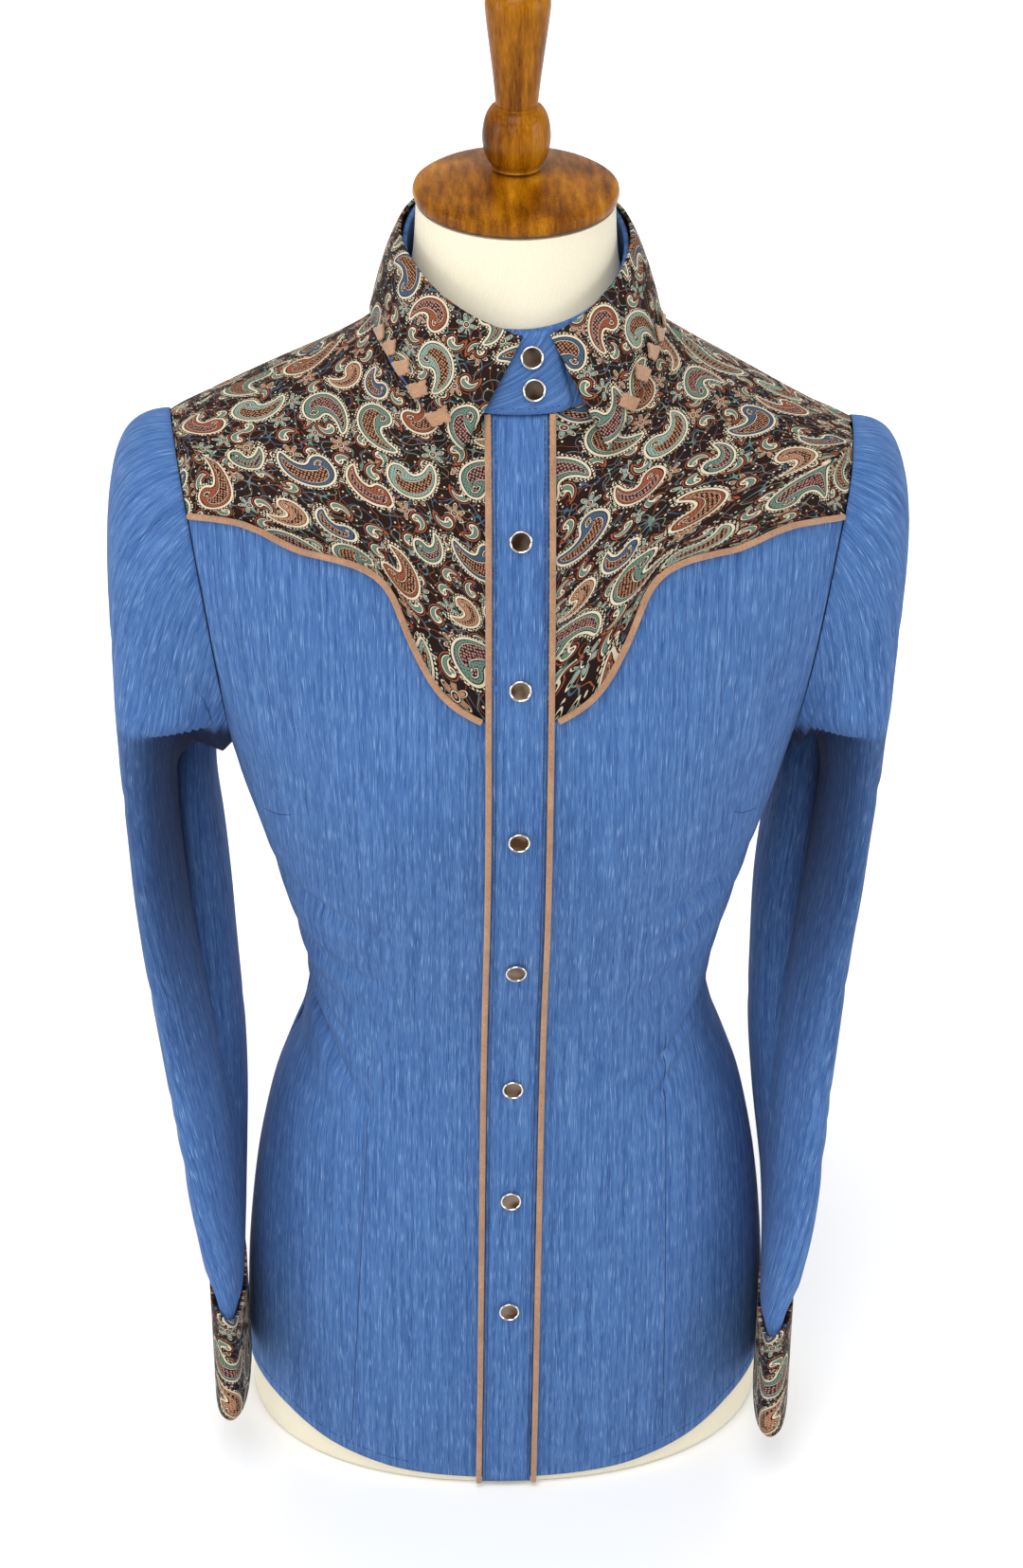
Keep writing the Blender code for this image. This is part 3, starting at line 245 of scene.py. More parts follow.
BODY_LOW = -20
BODY_LISTS = {column: listed(BODY, column, BODY_LOW, 830) for column in (1, 2, 3, 4, 5)}
SEAM_LISTS = {name: listed(table, 1, 0, 230)
              for name, table in (("front", YOKE_FRONT), ("back", YOKE_BACK), ("hem", HEM))}


def quick(values, at):
    """A listed value between its whole millimetres."""
    at = max(0.0, min(len(values) - 1.001, at))
    i = int(at)
    return values[i] + (values[i + 1] - values[i]) * (at - i)


def body(column, z):
    """A column of the body's table at a height."""
    return quick(BODY_LISTS[column], z - BODY_LOW)


def seam(name, x):
    """Height of a yoke seam or the hem at a distance from the middle."""
    return quick(SEAM_LISTS[name], abs(x))


def signed_power(value, power):
    """|value| to a power, with the value's sign."""
    return math.copysign(abs(value) ** power, value)


def ease(value, span):
    """0 below a span, 1 above it, with a soft change between."""
    share = max(0.0, min(1.0, (value - span[0]) / (span[1] - span[0])))
    return share * share * (3 - 2 * share)


def halved(span, steps, below):
    """A span halved again and again towards the place where below(value) stops being true."""
    low, high = span
    for _ in range(steps):
        middle = (low + high) / 2
        if below(middle):
            low = middle
        else:
            high = middle
    return low, high


def run_lengths(points, start=0.0):
    """Lengths along a line of points, from its first."""
    runs = [start]
    for before, here in zip(points, points[1:]):
        runs.append(runs[-1] + (here - before).length)
    return runs


# ------------------------------------------------------------------ the body under the cloth
def bust(x, z):
    """How far the bust lifts the front at x, z."""
    return BUST_RISE * math.exp(-((abs(x) - BUST_OUT) / BUST_WIDE) ** 2
                                - ((z - BUST_HEIGHT) / BUST_TALL) ** 2)


def fold_depth(folds, x, z):
    """Depth of the troughs at x, z of a front or back view."""
    total = 0.0
    for across, height, half_length, half_width, slope, depth in folds:
        lean = math.radians(slope)
        along = (x - across) * math.cos(lean) + (z - height) * math.sin(lean)
        beside = -(x - across) * math.sin(lean) + (z - height) * math.cos(lean)
        reach = (along / half_length) ** 2 + (beside / half_width) ** 2
        if reach < 9:
            total += depth * math.exp(-reach)
    return total


def section_point(turn, z):
    """Point of the cloth's outer face at height z; turn runs from the front to the left."""
    half, square = body(1, z), body(4, z)
    ahead = math.cos(turn)
    reach = body(2 if ahead > 0 else 3, z)
    x = half * signed_power(math.sin(turn), 2 / square)
    y = -reach * signed_power(ahead, 2 / square)
    if ahead > 0:
        y -= bust(x, z) * min(1.0, 3 * ahead)
    return Vector((x, y, z))


def tilted_point(turn, height, tilt):
    """Where the body meets the plane that passes the axis at a height with a tilt."""
    z = height
    for _ in range(6):
        z = height + tilt * section_point(turn, z).y
    return section_point(turn, z)


def row_tilt(height):
    """Tilt of the row that passes the axis at a height."""
    rise = (height - TILT_FROM) / (NECK_HEIGHT - TILT_FROM)
    return NECK_TILT * max(0.0, min(1.0, rise)) ** 1.5


def normal_at(turn, z):
    """Outward direction of the body."""
    step = 0.02
    across = section_point(turn + step, z) - section_point(turn - step, z)
    up = section_point(turn, z + 2.0) - section_point(turn, z - 2.0)
    return across.cross(up).normalized()


def moved(turn, point, out):
    """A body point moved out of the body by a distance."""
    return point + normal_at(turn, point.z) * out


def turn_for(x, z, back=False):
    """Turn at which the body is x away from the middle."""
    side = math.asin(min(1.0, (abs(x) / body(1, z)) ** (body(4, z) / 2)))
    turn = math.copysign(side, x)
    return math.pi - turn if back else turn


def on_front(x, z, out, back=False):
    """Point over the front (or back) of the body at x, z."""
    turn = turn_for(x, z, back)
    return moved(turn, section_point(turn, z), out)


def inside_body(x, y, z):
    """Below zero inside the worn cloth's outer face."""
    half, square = body(1, z), body(4, z)
    reach = body(2 if y < 0 else 3, z)
    return (abs(x) / half) ** square + (abs(y) / reach) ** square - 1


def armhole_x(z, y=0.0):
    """Distance of the armhole plane from the middle at a height, and at a depth."""
    return ARMHOLE_OUT + ARMHOLE_LEAN * (z - ARMHOLE_FOOT) + ARMHOLE_SKEW * y


def drooped(point):
    """A point lowered by the droop of the left shoulder."""
    fall = DROOP * ease(point.x, DROOP_OUT) * ease(point.z, DROOP_UP)
    return Vector((point.x, point.y, point.z - fall))


def placket_middle(z):
    """Where the placket's middle line runs."""
    return -PLACKET_DRIFT * max(0.0, 1 - z / PLACKET_DRIFT_FROM)


def neck_front(x):
    """Height of the neck seam at the front, at a distance from the middle."""
    z = NECK_HEIGHT
    for _ in range(8):
        z = NECK_HEIGHT + NECK_TILT * on_front(x, z, 0.0).y
    return z


# ------------------------------------------------------------------ making pieces
def link(name, mesh, node):
    """Place a made mesh as a piece that stands for a node of the frame, or is added to it."""
    piece = bpy.data.objects.new(name, mesh)
    bpy.context.scene.collection.objects.link(piece)
    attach(piece, "root")
    if node:
        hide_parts(node)
    return piece


def finish_mesh(work, name, sharp=60):
    """A mesh from a worked bmesh, smooth but for its sharp edges."""
    mesh = bpy.data.meshes.new(name)
    work.to_mesh(mesh)
    work.free()
    mesh.shade_smooth()
    mesh.set_sharp_from_angle(angle=math.radians(sharp))
    return mesh


def laid_flat(work, rows, across, along, start, grain):
    """The measure of an open face laid flat with the least stretch, its grain column upright."""
    mesh = bpy.data.meshes.new("laid_flat")
    work.verts.index_update()
    work.to_mesh(mesh)
    mesh.uv_layers.new(name="flat")
    holder = bpy.data.objects.new("laid_flat", mesh)
    bpy.context.scene.collection.objects.link(holder)
    bpy.context.view_layer.objects.active = holder
    holder.select_set(True)
    bpy.ops.object.mode_set(mode="EDIT")
    bpy.ops.mesh.select_all(action="SELECT")
    bpy.ops.uv.unwrap(method="MINIMUM_STRETCH", iterations=12, fill_holes=False, margin=0.0)
    bpy.ops.object.mode_set(mode="OBJECT")
    places, flat_area = {}, 0.0
    for face in mesh.polygons:
        corners = [mesh.uv_layers["flat"].data[k].uv.copy() for k in face.loop_indices]
        places.update(zip(face.vertices, corners))
        flat_area += sum(a.cross(b) for a, b in zip(corners, corners[1:] + corners[:1])) / 2
    size = math.sqrt(sum(face.area for face in mesh.polygons) / abs(flat_area))
    column = round(grain * across)
    foot, top = (places[rows[(column, j)].index] for j in (0, along))
    turn = Matrix.Rotation((top - foot).angle_signed(Vector((0, 1))) * -1, 2)
    measure = {vert: turn @ (places[vert.index] - foot) * size + Vector(start) * MM
               for vert in rows.values()}
    bpy.data.objects.remove(holder)
    bpy.data.meshes.remove(mesh)
    return measure


def cloth_face(name, across, along, spot, flip=False, closed=False, start=(0.0, 0.0), grain=None):
    """A face of even cells, shaped by spot(u, v) in millimetres, with the cloth's own measure in
    metres as its UV map: given by spot, laid flat round a grain column, or run along its lines.
    Returns the mesh and its flat width, length and area."""
    work = bmesh.new()
    bmesh.ops.create_grid(work, x_segments=across, y_segments=along, size=0.5)
    rows = {}
    for vert in work.verts:
        i, j = round((vert.co.x + 0.5) * across), round((vert.co.y + 0.5) * along)
        rows[(i, j)] = vert
    given = {}
    for (i, j), vert in rows.items():
        point = spot(i / across, j / along)
        if isinstance(point, tuple):
            point, flat = point
            given[vert] = Vector(flat) * MM
        vert.co = drooped(point) * MM
    if flip:
        bmesh.ops.reverse_faces(work, faces=work.faces)
    levels = [run_lengths([rows[(i, j)].co for i in range(across + 1)], start[0] * MM)
              for j in range(along + 1)]
    columns = [run_lengths([rows[(i, j)].co for j in range(along + 1)], start[1] * MM)
               for i in range(across + 1)]
    width, length = (max(runs[-1] - runs[0] for runs in lines) for lines in (levels, columns))
    if grain is not None:
        measure = laid_flat(work, rows, across, along, start, grain)
    else:
        measure = given or {vert: (levels[j][i], columns[i][j]) for (i, j), vert in rows.items()}
    layer = work.loops.layers.uv.new("cloth")
    for face in work.faces:
        for corner in face.loops:
            corner[layer].uv = measure[corner.vert]
    if closed:
        bmesh.ops.remove_doubles(work, verts=[rows[(k, j)] for k in (0, across) for j in range(along + 1)],
                                 dist=1e-5)
    area = sum(face.calc_area() for face in work.faces)
    return finish_mesh(work, name), (width, length, area)


def walled(piece, wall, levels=0, offset=-1.0):
    """Give a face of cloth or suede its wall."""
    if levels:
        finer = piece.modifiers.new("finer", "SUBSURF")
        finer.levels = levels
        finer.render_levels = levels
        finer.boundary_smooth = "PRESERVE_CORNERS"
    thick = piece.modifiers.new("wall", "SOLIDIFY")
    thick.thickness = wall * MM
    thick.offset = offset


def cloth_piece(name, node, cells, spot, look, wall, held, rests_on, levels=0, offset=-1.0, **laying):
    """A piece of cloth with its finish and its wall.
    cells, spot and laying are those of its face."""
    mesh, (width, length, area) = cloth_face(name, *cells, spot, **laying)
    piece = link(name, mesh, node)
    mesh.materials.append(look)
    walled(piece, wall, levels, offset)
    return mesh


def cord_mesh(name, lines, radius, closed=False, sides=4):
    """The mesh of round cords along lines of points (mm)."""
    cord = bpy.data.curves.new(name, "CURVE")
    cord.dimensions = "3D"
    cord.bevel_depth = radius * MM
    cord.bevel_resolution = sides
    cord.use_fill_caps = True
    for points in lines:
        spline = cord.splines.new("POLY")
        spline.points.add(len(points) - 1)
        for knot, point in zip(spline.points, points):
            knot.co = (*(drooped(point) * MM), 1.0)
        spline.use_cyclic_u = closed
    holder = bpy.data.objects.new(name + "_line", cord)
    mesh = bpy.data.meshes.new_from_object(holder)
    mesh.name = name
    bpy.data.objects.remove(holder)
    mesh.shade_smooth()
    mesh.set_sharp_from_angle(angle=math.radians(60))
    mesh.materials.clear()
    return mesh


def tube(name, points, radius, node, material, closed=False):
    """A round cord of cloth sewn along a line of points (mm)."""
    mesh = cord_mesh(name, [points], radius, closed)
    link(name, mesh, node)
    mesh.materials.append(material)


def stitched(name, lines, looks, stitch=2.3, pitch=2.9, radius=0.24):
    """Running stitches of thread along lines of points (mm)."""
    dashes = []
    for points in lines:
        ahead = 0.0
        for start, end in zip(points, points[1:]):
            span = (end - start).length
            while ahead < span:
                reach = min(1.0, (ahead + stitch) / span)
                dashes.append([start.lerp(end, ahead / span), start.lerp(end, reach)])
                ahead += pitch
            ahead -= span
    mesh = cord_mesh(name, dashes, radius, sides=0)
    link(name, mesh, None)
    mesh.materials.append(looks["thread"])


def turned_piece(name, profile, node, material, steps, place=None):
    """A turned shape: its profile (radius, height) spun round the upright axis."""
    work = bmesh.new()
    knots = [work.verts.new((radius * MM, 0, height * MM)) for radius, height in profile]
    edges = [work.edges.new(pair) for pair in zip(knots, knots[1:])]
    bmesh.ops.spin(work, geom=knots + edges, axis=(0, 0, 1), cent=(0, 0, 0), steps=steps,
                   angle=2 * math.pi, use_merge=True)
    bmesh.ops.remove_doubles(work, verts=work.verts, dist=1e-6)
    bmesh.ops.recalc_face_normals(work, faces=work.faces)
    layer = work.loops.layers.uv.new("turned")
    for face in work.faces:
        for corner in face.loops:
            corner[layer].uv = (corner.vert.co.xy.length, corner.vert.co.z)
    if place:
        bmesh.ops.transform(work, matrix=place, verts=work.verts)
    piece = link(name, finish_mesh(work, name, 40), node)
    piece.data.materials.append(material)


# ------------------------------------------------------------------ the body's panels
def outer_turn(z, back):
    """Turn at which a body panel ends at a height: its armhole, or the side and shoulder seam."""
    rear = body(3, z)
    seam_at = SIDE_SEAM + (GAP / 2 if back else -GAP / 2)
    end = math.pi / 2 + math.asin(min(1.0, (seam_at / rear) ** (body(4, z) / 2)))
    if z <= ARMHOLE_CORNER:
        return end

    def before_armhole(turn):
        """Whether a turn lies on the low side of the armhole's line."""
        spot = section_point(turn, z)
        return (spot.x > armhole_x(z, spot.y) - GAP / 2) == back

    low, high = halved((end, math.pi) if back else (0.0, end), 24, before_armhole)
    held = high if back else low
    return held + (end - held) * (1 - ease(z, (ARMHOLE_CORNER, ARMHOLE_CORNER + 18)))


OUTER = {back: [outer_turn(z / 4, back) for z in range(0, 3040)] for back in (False, True)}


def crowded(v, at, share=0.85):
    """A share of the way up, with its rows crowded round a level."""
    wave = 2 * math.pi * (0.5 - at)
    return v + share * (math.sin(2 * math.pi * v + wave) - math.sin(wave)) / (2 * math.pi)


def pressed_body(turn, z, folds, out=0.0):
    """Point of the worn cloth with its creases pressed in."""
    point = section_point(turn, z)
    return moved(turn, point, out - fold_depth(folds, point.x, point.z))


def girths(z):
    """Lengths round the body at a height, from the front middle, at every 2 degrees of turn."""
    return run_lengths([section_point(math.radians(2 * k), z) for k in range(91)])


GIRTHS = [girths(8.0 * k) for k in range(95)]


def girth(turn, z):
    """Length round the body at a height, from the front middle to a turn."""
    row = max(0.0, min(93.999, z / 8))
    low, high = (quick(GIRTHS[int(row) + k], math.degrees(turn) / 2) for k in (0, 1))
    return low + (high - low) * (row - int(row))


def settled(v, low, high, crowd, turn_at):
    """Turn and height of a place v of the way up a panel, at the turn that turn_at(z) gives."""
    v = crowded(v, crowd) if crowd else v
    z = (low(20.0) + high(20.0)) / 2
    for _ in range(SETTLE_STEPS):
        turn = turn_at(z)
        place = section_point(turn, z)
        bottom, top = low(place.x), high_at(high, place, v)
        z += (bottom + (top - bottom) * v - z) * SETTLE_SHARE
    return turn, z


def front_spot(side, low, high, folds, crowd=None):
    """A mapping of a front or front yoke: u from the placket outwards, v from low to high."""
    def spot(u, v):
        def turn_at(z):
            inner = turn_for(0.5, z)
            return inner + (quick(OUTER[False], 4 * z) - inner) * u

        turn, z = settled(v, low, high, crowd, turn_at)
        return pressed_body(side * turn, z, folds), (side * girth(turn, z), z)
    return spot


def high_at(high, place, v):
    """Upper edge of a panel: a seam line, or the neck seam, which tilts more the higher the row."""
    return high(place.x) if high is not neck_line else NECK_HEIGHT + NECK_TILT * place.y * v * v


def neck_line(x):
    """Rough height of the neck seam, to start from."""
    return NECK_HEIGHT - 10.0


def back_spot(low, high, folds, crowd=None):
    """A mapping of the back or back yoke: u from the right side to the left."""
    def spot(u, v):
        share = 2 * u - 1
        turn, z = settled(v, low, high, crowd,
                          lambda z: math.pi - abs(share) * (math.pi - quick(OUTER[True], 4 * z)))
        across = math.copysign(girth(math.pi, z) - girth(turn, z), -share)
        return pressed_body(math.copysign(turn, share) if share else math.pi, z, folds), (across, z)
    return spot


def seam_line(name, off=0.0):
    """The height of a seam or the hem at a distance from the middle, or of an edge off it."""
    return lambda x: seam(name, x) + off


def make_body(looks):
    """Fronts, back and yokes."""
    worn = {"wall": CLOTH, "held": "stretched", "rests_on": ["form_torso"], "levels": 1}
    hem = seam_line("hem")
    for side, word in SIDES:
        cloth_piece("front_panel_" + word, "front_" + word, (56, 160),
                    front_spot(side, hem, seam_line("front", -SEAM_HALF), FRONT_CREASES),
                    looks["chambray"], **worn, flip=side < 0)
        cloth_piece("front_yoke_" + word, "yoke_front_" + word, (44, 72),
                    front_spot(side, seam_line("front", SEAM_HALF), neck_line, (), FRONT_YOKE_CROWD),
                    looks["paisley"], **worn, flip=side < 0, start=(0.0, 530.0), grain=0.0)
    cloth_piece("back_panel", "back", (76, 110),
                back_spot(hem, seam_line("back", -SEAM_HALF), BACK_CREASES),
                looks["chambray"], **worn, flip=True)
    cloth_piece("back_yoke", "yoke_back", (72, 64),
                back_spot(seam_line("back", SEAM_HALF), neck_line, (), BACK_YOKE_CROWD),
                looks["paisley"], **worn, flip=True, start=(300.0, 540.0), grain=0.5)


def yoke_line(name, start, step, back):
    """Places (x, z) along a yoke's seam from a distance off the middle to the armhole."""
    line = []
    for x in (start + step * i for i in range(150)):
        z = seam(name, x)
        if x < armhole_x(z, on_front(x, z, 0.0, back).y) - PIPING_RADIUS - 0.5:
            line.append((x, z))
    return line


def make_placket(looks):
    """The strip down the front, its pipings and the pipings of the yokes."""
    top = neck_front(0.0) - 0.5

    def spot(u, v):
        z = PLACKET_FOOT + (top - PLACKET_FOOT) * v
        across = 2 * u - 1
        edge = math.exp(-((1 - abs(across)) / 0.12) ** 2)
        pucker = 0.22 * edge * math.sin(z * 0.42 + 2.0 * noise.noise((z * 0.05, u, 1.0)))
        return on_front(placket_middle(z) + across * PLACKET_HALF, z, GAP + 0.1 + CLOTH + pucker)

    cloth_piece("placket_strip", "placket", (16, 260), spot, looks["chambray"], CLOTH, "stretched",
                ["front_panel_left", "front_panel_right"], start=(13.0, 0.0))
    heights = [PLACKET_FOOT + (top - PLACKET_FOOT) * i / 150 for i in range(151)]
    rest = PIPING_RADIUS + GAP + 0.25
    start = PLACKET_HALF + 2 * (GAP + PIPING_RADIUS) + PIPING_RADIUS
    for side, word in SIDES:
        beside = side * (PLACKET_HALF + GAP + PIPING_RADIUS)
        tube("edge_piping_" + word,
             [on_front(placket_middle(z) + beside, z, PIPING_RADIUS + GAP + 0.15) for z in heights],
             PIPING_RADIUS, "placket_piping_" + word, looks["suede"])
    for side, word in SIDES:
        tube("yoke_cord_front_" + word,
             [on_front(side * x, z, rest) for x, z in yoke_line("front", start, 1.2, False)],
             PIPING_RADIUS, "yoke_piping_front_" + word, looks["suede"])
    line = yoke_line("back", 0.0, 1.4, True)
    both = [(-x, z) for x, z in line[:0:-1]] + line
    tube("yoke_cord_back", [on_front(x, z, rest, back=True) for x, z in both], PIPING_RADIUS,
         "yoke_piping_back", looks["suede"])


def make_stitching(looks):
    """Edge stitching of the placket, hem and stand, and the pressed lines of the darts."""
    top = neck_front(0.0) - 3.0
    heights = [6.0 + (top - 6.0) * i / 60 for i in range(61)]
    inset, above = PLACKET_HALF - 1.9, GAP + CLOTH + 0.25
    edges = [[on_front(placket_middle(z) + side * inset, z, above) for z in heights]
             for side in (-1, 1)]
    stitched("placket_stitches", edges, looks)
    hems = []
    for side in (-1, 1):
        for ends in ((20, 84), (98, 178)):
            line = []
            for k in range(41):
                turn = math.radians(ends[0] + (ends[1] - ends[0]) * k / 40)
                z = 20.0
                for _ in range(6):
                    z = seam("hem", section_point(turn, z).x) + 7.0
                line.append(pressed_body(side * turn, z, (), 0.1))
            hems.append(line)
    stitched("hem_stitches", hems, looks, radius=0.2)
    stand = [[stand_point(math.radians(a), rise, STAND_OVERLAP + 0.15) for a in range(-6, 16)]
             for rise in (0.07, 0.93)]
    stitched("stand_stitches", stand, looks, radius=0.2)
    for name, line in DARTS:
        points = []
        for (x, z), (next_x, next_z) in zip(line, line[1:]):
            count = max(2, round(math.hypot(next_x - x, next_z - z) / 4))
            points += [(x + (next_x - x) * k / count, z + (next_z - z) * k / count) for k in range(count)]
        points.append(line[-1])
        laid = [on_front(x, z, -0.12 - fold_depth(FRONT_CREASES, x, z)) for x, z in points]
        mesh = cord_mesh(name, [laid], 0.3, sides=1)
        link(name, mesh, None)
        mesh.materials.append(looks["thread"])


# ------------------------------------------------------------------ sleeves and cuffs
def armhole_point(side, angle):
    """Point of the armhole seam; angle 0 is its top and a quarter turn its front."""
    def place(far):
        """Place in the armhole's plane at a distance from its middle."""
        y, z = -far * math.sin(angle), ARMHOLE_MIDDLE + far * math.cos(angle)
        return armhole_x(z, y) + GAP / 2, y, z

    x, y, z = place(halved(ARMHOLE_REACH, 30, lambda far: inside_body(*place(far)) < 0)[0])
    return Vector((side * x, y, z))


def oval_point(side, row, angle, grow=0.0):
    """Point of a sleeve section; angle 0 is its outer side and a quarter turn its front."""
    height, out, forward, half_long, half_thick, twist = row
    turn = math.radians(twist)
    across = (half_thick + grow) * signed_power(math.cos(angle), 2 / SLEEVE_SQUARE)
    ahead = (half_long + grow) * signed_power(math.sin(angle), 2 / SLEEVE_SQUARE)
    x = out + across * math.cos(turn) + ahead * math.sin(turn)
    y = -forward - ahead * math.cos(turn) + across * math.sin(turn)
    return Vector((side * x, y, height))


def head_point(side, angle, start, first, s):
    """Point of the sleeve head between the armhole and the first sleeve section."""
    end = oval_point(side, first, angle)
    end.z += HEAD_TILT * math.cos(angle)
    share = (1 + math.cos(angle)) / 2
    leave = Vector((side * (20 + HEAD_REACH * share), 0, -4 - 26 * (1 - share)))
    arrive = Vector((0, 0, -20 - HEAD_FALL * share))
    h00, h10 = (1 + 2 * s) * (1 - s) ** 2, s * (1 - s) ** 2
    h01, h11 = s * s * (3 - 2 * s), s * s * (s - 1)
    return start * h00 + leave * h10 + end * h01 + arrive * h11


def cleared(side, point):
    """A sleeve point below the armhole, moved out where it would touch the shirt's body."""
    below = ARMHOLE_FOOT + 4.0 - point.z
    if below <= 0:
        return point
    half, square = body(1, point.z), body(4, point.z)
    reach = body(2 if point.y < 0 else 3, point.z)
    body_x = half * max(0.0, 1 - (abs(point.y) / reach) ** square) ** (1 / square)
    least = body_x + min(SLEEVE_CLEAR, GAP + 0.5 + 0.25 * below)
    return Vector((side * max(side * point.x, least), point.y, point.z))


def off_angle(angle, at):
    """Degrees from one direction to another, between -180 and 180."""
    return (math.degrees(angle) - at + 180) % 360 - 180


def pressed(rows, side, angle, point, folds):
    """A sleeve point pressed towards the sleeve's middle line by the hollows."""
    depth = 0.0
    for at, height, half_angle, half_height, deep, slope in folds:
        off = off_angle(angle, at)
        rise = point.z - height - slope * off
        depth += deep * math.exp(-(off / half_angle) ** 2 - (rise / half_height) ** 2)
    at, half_angle, ledge, fade, deep = LEDGE[side]
    off = off_angle(angle, at)
    ledge -= LEDGE_SLOPE * off
    across = math.exp(-(off / half_angle) ** 4)
    depth += deep * across * (1 - ease(point.z, (ledge - 6, ledge + 1))) * ease(point.z, fade)
    depth -= 0.18 * deep * across * math.exp(-((point.z - ledge - 9) / 11) ** 2)
    middle = Vector((side * read(rows, 1, point.z), -read(rows, 2, point.z), point.z))
    clear = side * point.x - armhole_x(point.z, point.y)
    free = 1.0 if point.z < ARMHOLE_FOOT else max(0.0, min(1.0, clear / 20 - 0.1))
    return point + (middle - point).normalized() * depth * free


SHADE_ANGLES = (134.0, 66.0)    # degrees: the middle of the painted shade under a head, and its half width
SHADE_FADE = (235.0, 430.0)     # heights between which it comes in, from the elbow up


def mark_painted_shade(mesh, side, rows):
    """How far each point of a sleeve lies in the painted shade under its head, from 0 to 1, for its finish to
    paint darker.
    """
    ledge = LEDGE[side][2]
    layer = mesh.attributes.new("painted_shade", "FLOAT", "POINT")
    for vertex, mark in zip(mesh.vertices, layer.data):
        x, y, z = vertex.co / MM
        ahead, out = -y - read(rows, 2, z), side * x - read(rows, 1, z)
        off = off_angle(math.atan2(ahead, out), SHADE_ANGLES[0])
        top = ledge - LEDGE_SLOPE * off
        across = math.exp(-(off / SHADE_ANGLES[1]) ** 4)
        mark.value = across * (1 - ease(z, (top - 7, top - 1))) * ease(z, SHADE_FADE)


def cuff_row(rows, drop):
    """The cuff's section at a distance below its top."""
    height, out, forward, _, _, twist = rows[-1]
    return (height - drop, out - 0.02 * drop, forward + 0.16 * drop,
            CUFF_HALF_LONG, CUFF_HALF_THICK, twist)


def cuff_spot(side, rows, drop, angle, grow=0.0):
    """Point of the cuff at a distance below its top edge, which is pointed on its outer side."""
    point = oval_point(side, cuff_row(rows, drop), angle, grow)
    point.z += CUFF_POINT * math.cos(angle) * (1 - drop / CUFF_TALL)
    return point


def sleeve_mapping(side, rows, folds):
    """The sleeve from its armhole down to its end inside the cuff."""
    starts = {}
    tucked = -CUFF_WALL - GAP - 0.4
    lengths = (0.42, 0.94)

    def hanging(place, angle):
        """Sleeve at a place along its rows, 0 at the first."""
        top = rows[min(int(place), len(rows) - 2)]
        below = rows[min(int(place) + 1, len(rows) - 1)]
        s = place - int(place)
        height = top[0] + (below[0] - top[0]) * s
        row = (height, *[read(rows, column, height) for column in (1, 2, 3, 4, 5)])
        point = oval_point(side, row, angle)
        point.z += HEAD_TILT * max(0.0, 1 - place / 4) * math.cos(angle)
        return cleared(side, pressed(rows, side, angle, point, folds))

    def spot(u, v):
        angle = 2 * math.pi * (u + 0.5)
        if v < lengths[0]:
            s = v / lengths[0]
            if u not in starts:
                starts[u] = armhole_point(side, angle)
            point = head_point(side, angle, starts[u], rows[0], s)
            if s > 0.2:
                point = pressed(rows, side, angle, point, folds)
            return cleared(side, point) if s > 0.1 else point
        last = len(rows) - 2
        if v < lengths[1]:
            return hanging(last * (v - lengths[0]) / (lengths[1] - lengths[0]), angle)
        s = (v - lengths[1]) / (1 - lengths[1])
        marks = (hanging(last, angle), cuff_spot(side, rows, -9.0, angle),
                 cuff_spot(side, rows, -1.5, angle, tucked), cuff_spot(side, rows, CUFF_TUCK, angle, tucked))
        at = (0.0, 0.6, 0.8, 1.0)
        i = 0 if s < at[1] else 1 if s < at[2] else 2
        return marks[i].lerp(marks[i + 1], (s - at[i]) / (at[i + 1] - at[i]))
    return spot


def make_sleeve(side, word, rows, looks):
    """One sleeve with its cuff, the binding under it and two snaps."""
    folds = SLEEVE_FOLDS + SLEEVE_CREASES
    mesh = cloth_piece("sleeve_cloth_" + word, "sleeve_" + word, (72, 170), sleeve_mapping(side, rows, folds),
                       looks["sleeve_" + word], CLOTH, "hung", ["front_panel_" + word, "back_panel"],
                       flip=side > 0, closed=True, grain=0.5)
    # painted shade under the head: its share at each point, kept on the sleeve's mesh for its finish
    mark_painted_shade(mesh, side, rows)
    cloth_piece("cuff_cloth_" + word, "cuff_" + word, (72, 20),
                lambda u, v: cuff_spot(side, rows, CUFF_TALL * v, 2 * math.pi * (u + 0.5)),
                looks["paisley"], CUFF_WALL, "hung", ["sleeve_cloth_" + word],
                flip=side > 0, closed=True, start=(100.0, 20.0))
    low = CUFF_TALL + GAP + BINDING_RADIUS + 0.1
    ring = [cuff_spot(side, rows, low, math.pi * a / 36, -CUFF_WALL / 2) for a in range(72)]
    tube("cuff_edge_" + word, ring, BINDING_RADIUS, "cuff_binding_" + word, looks["suede"], closed=True)
    for i, drop in enumerate(CUFF_SNAPS, 1):
        here, beside = (cuff_spot(side, rows, drop, CUFF_SNAP_ANGLE + a) for a in (0.0, 0.1))
        below = cuff_spot(side, rows, drop + 5, CUFF_SNAP_ANGLE)
        out = (beside - here).cross(below - here).normalized()
        out = out if out.x * side > 0 else -out
        make_snap(f"cuff_snap_{word}_{i}", here + out * (GAP + 0.2), out, f"snap_cuff_{word}_{i}", looks)


# ------------------------------------------------------------------ snaps
SNAP_PROFILE = ((0.0, 2.12), (2.5, 2.08), (4.2, 1.98), (4.95, 1.96), (5.1, 2.12), (5.3, 2.32), (5.55, 2.4),
                (5.8, 2.28), (5.95, 1.95), (6.0, 1.5), (5.9, 0.9), (5.7, 0.3), (5.4, 0.0), (0.0, 0.0))


def make_snap(name, place, out, node, looks):
    """A polished snap: a slightly domed cap in a rolled rim."""
    facing = out.to_track_quat("Z", "Y").to_matrix().to_4x4()
    turned_piece(name, SNAP_PROFILE, node, looks["nickel"], 48,
                 Matrix.Translation(place * MM) @ facing)


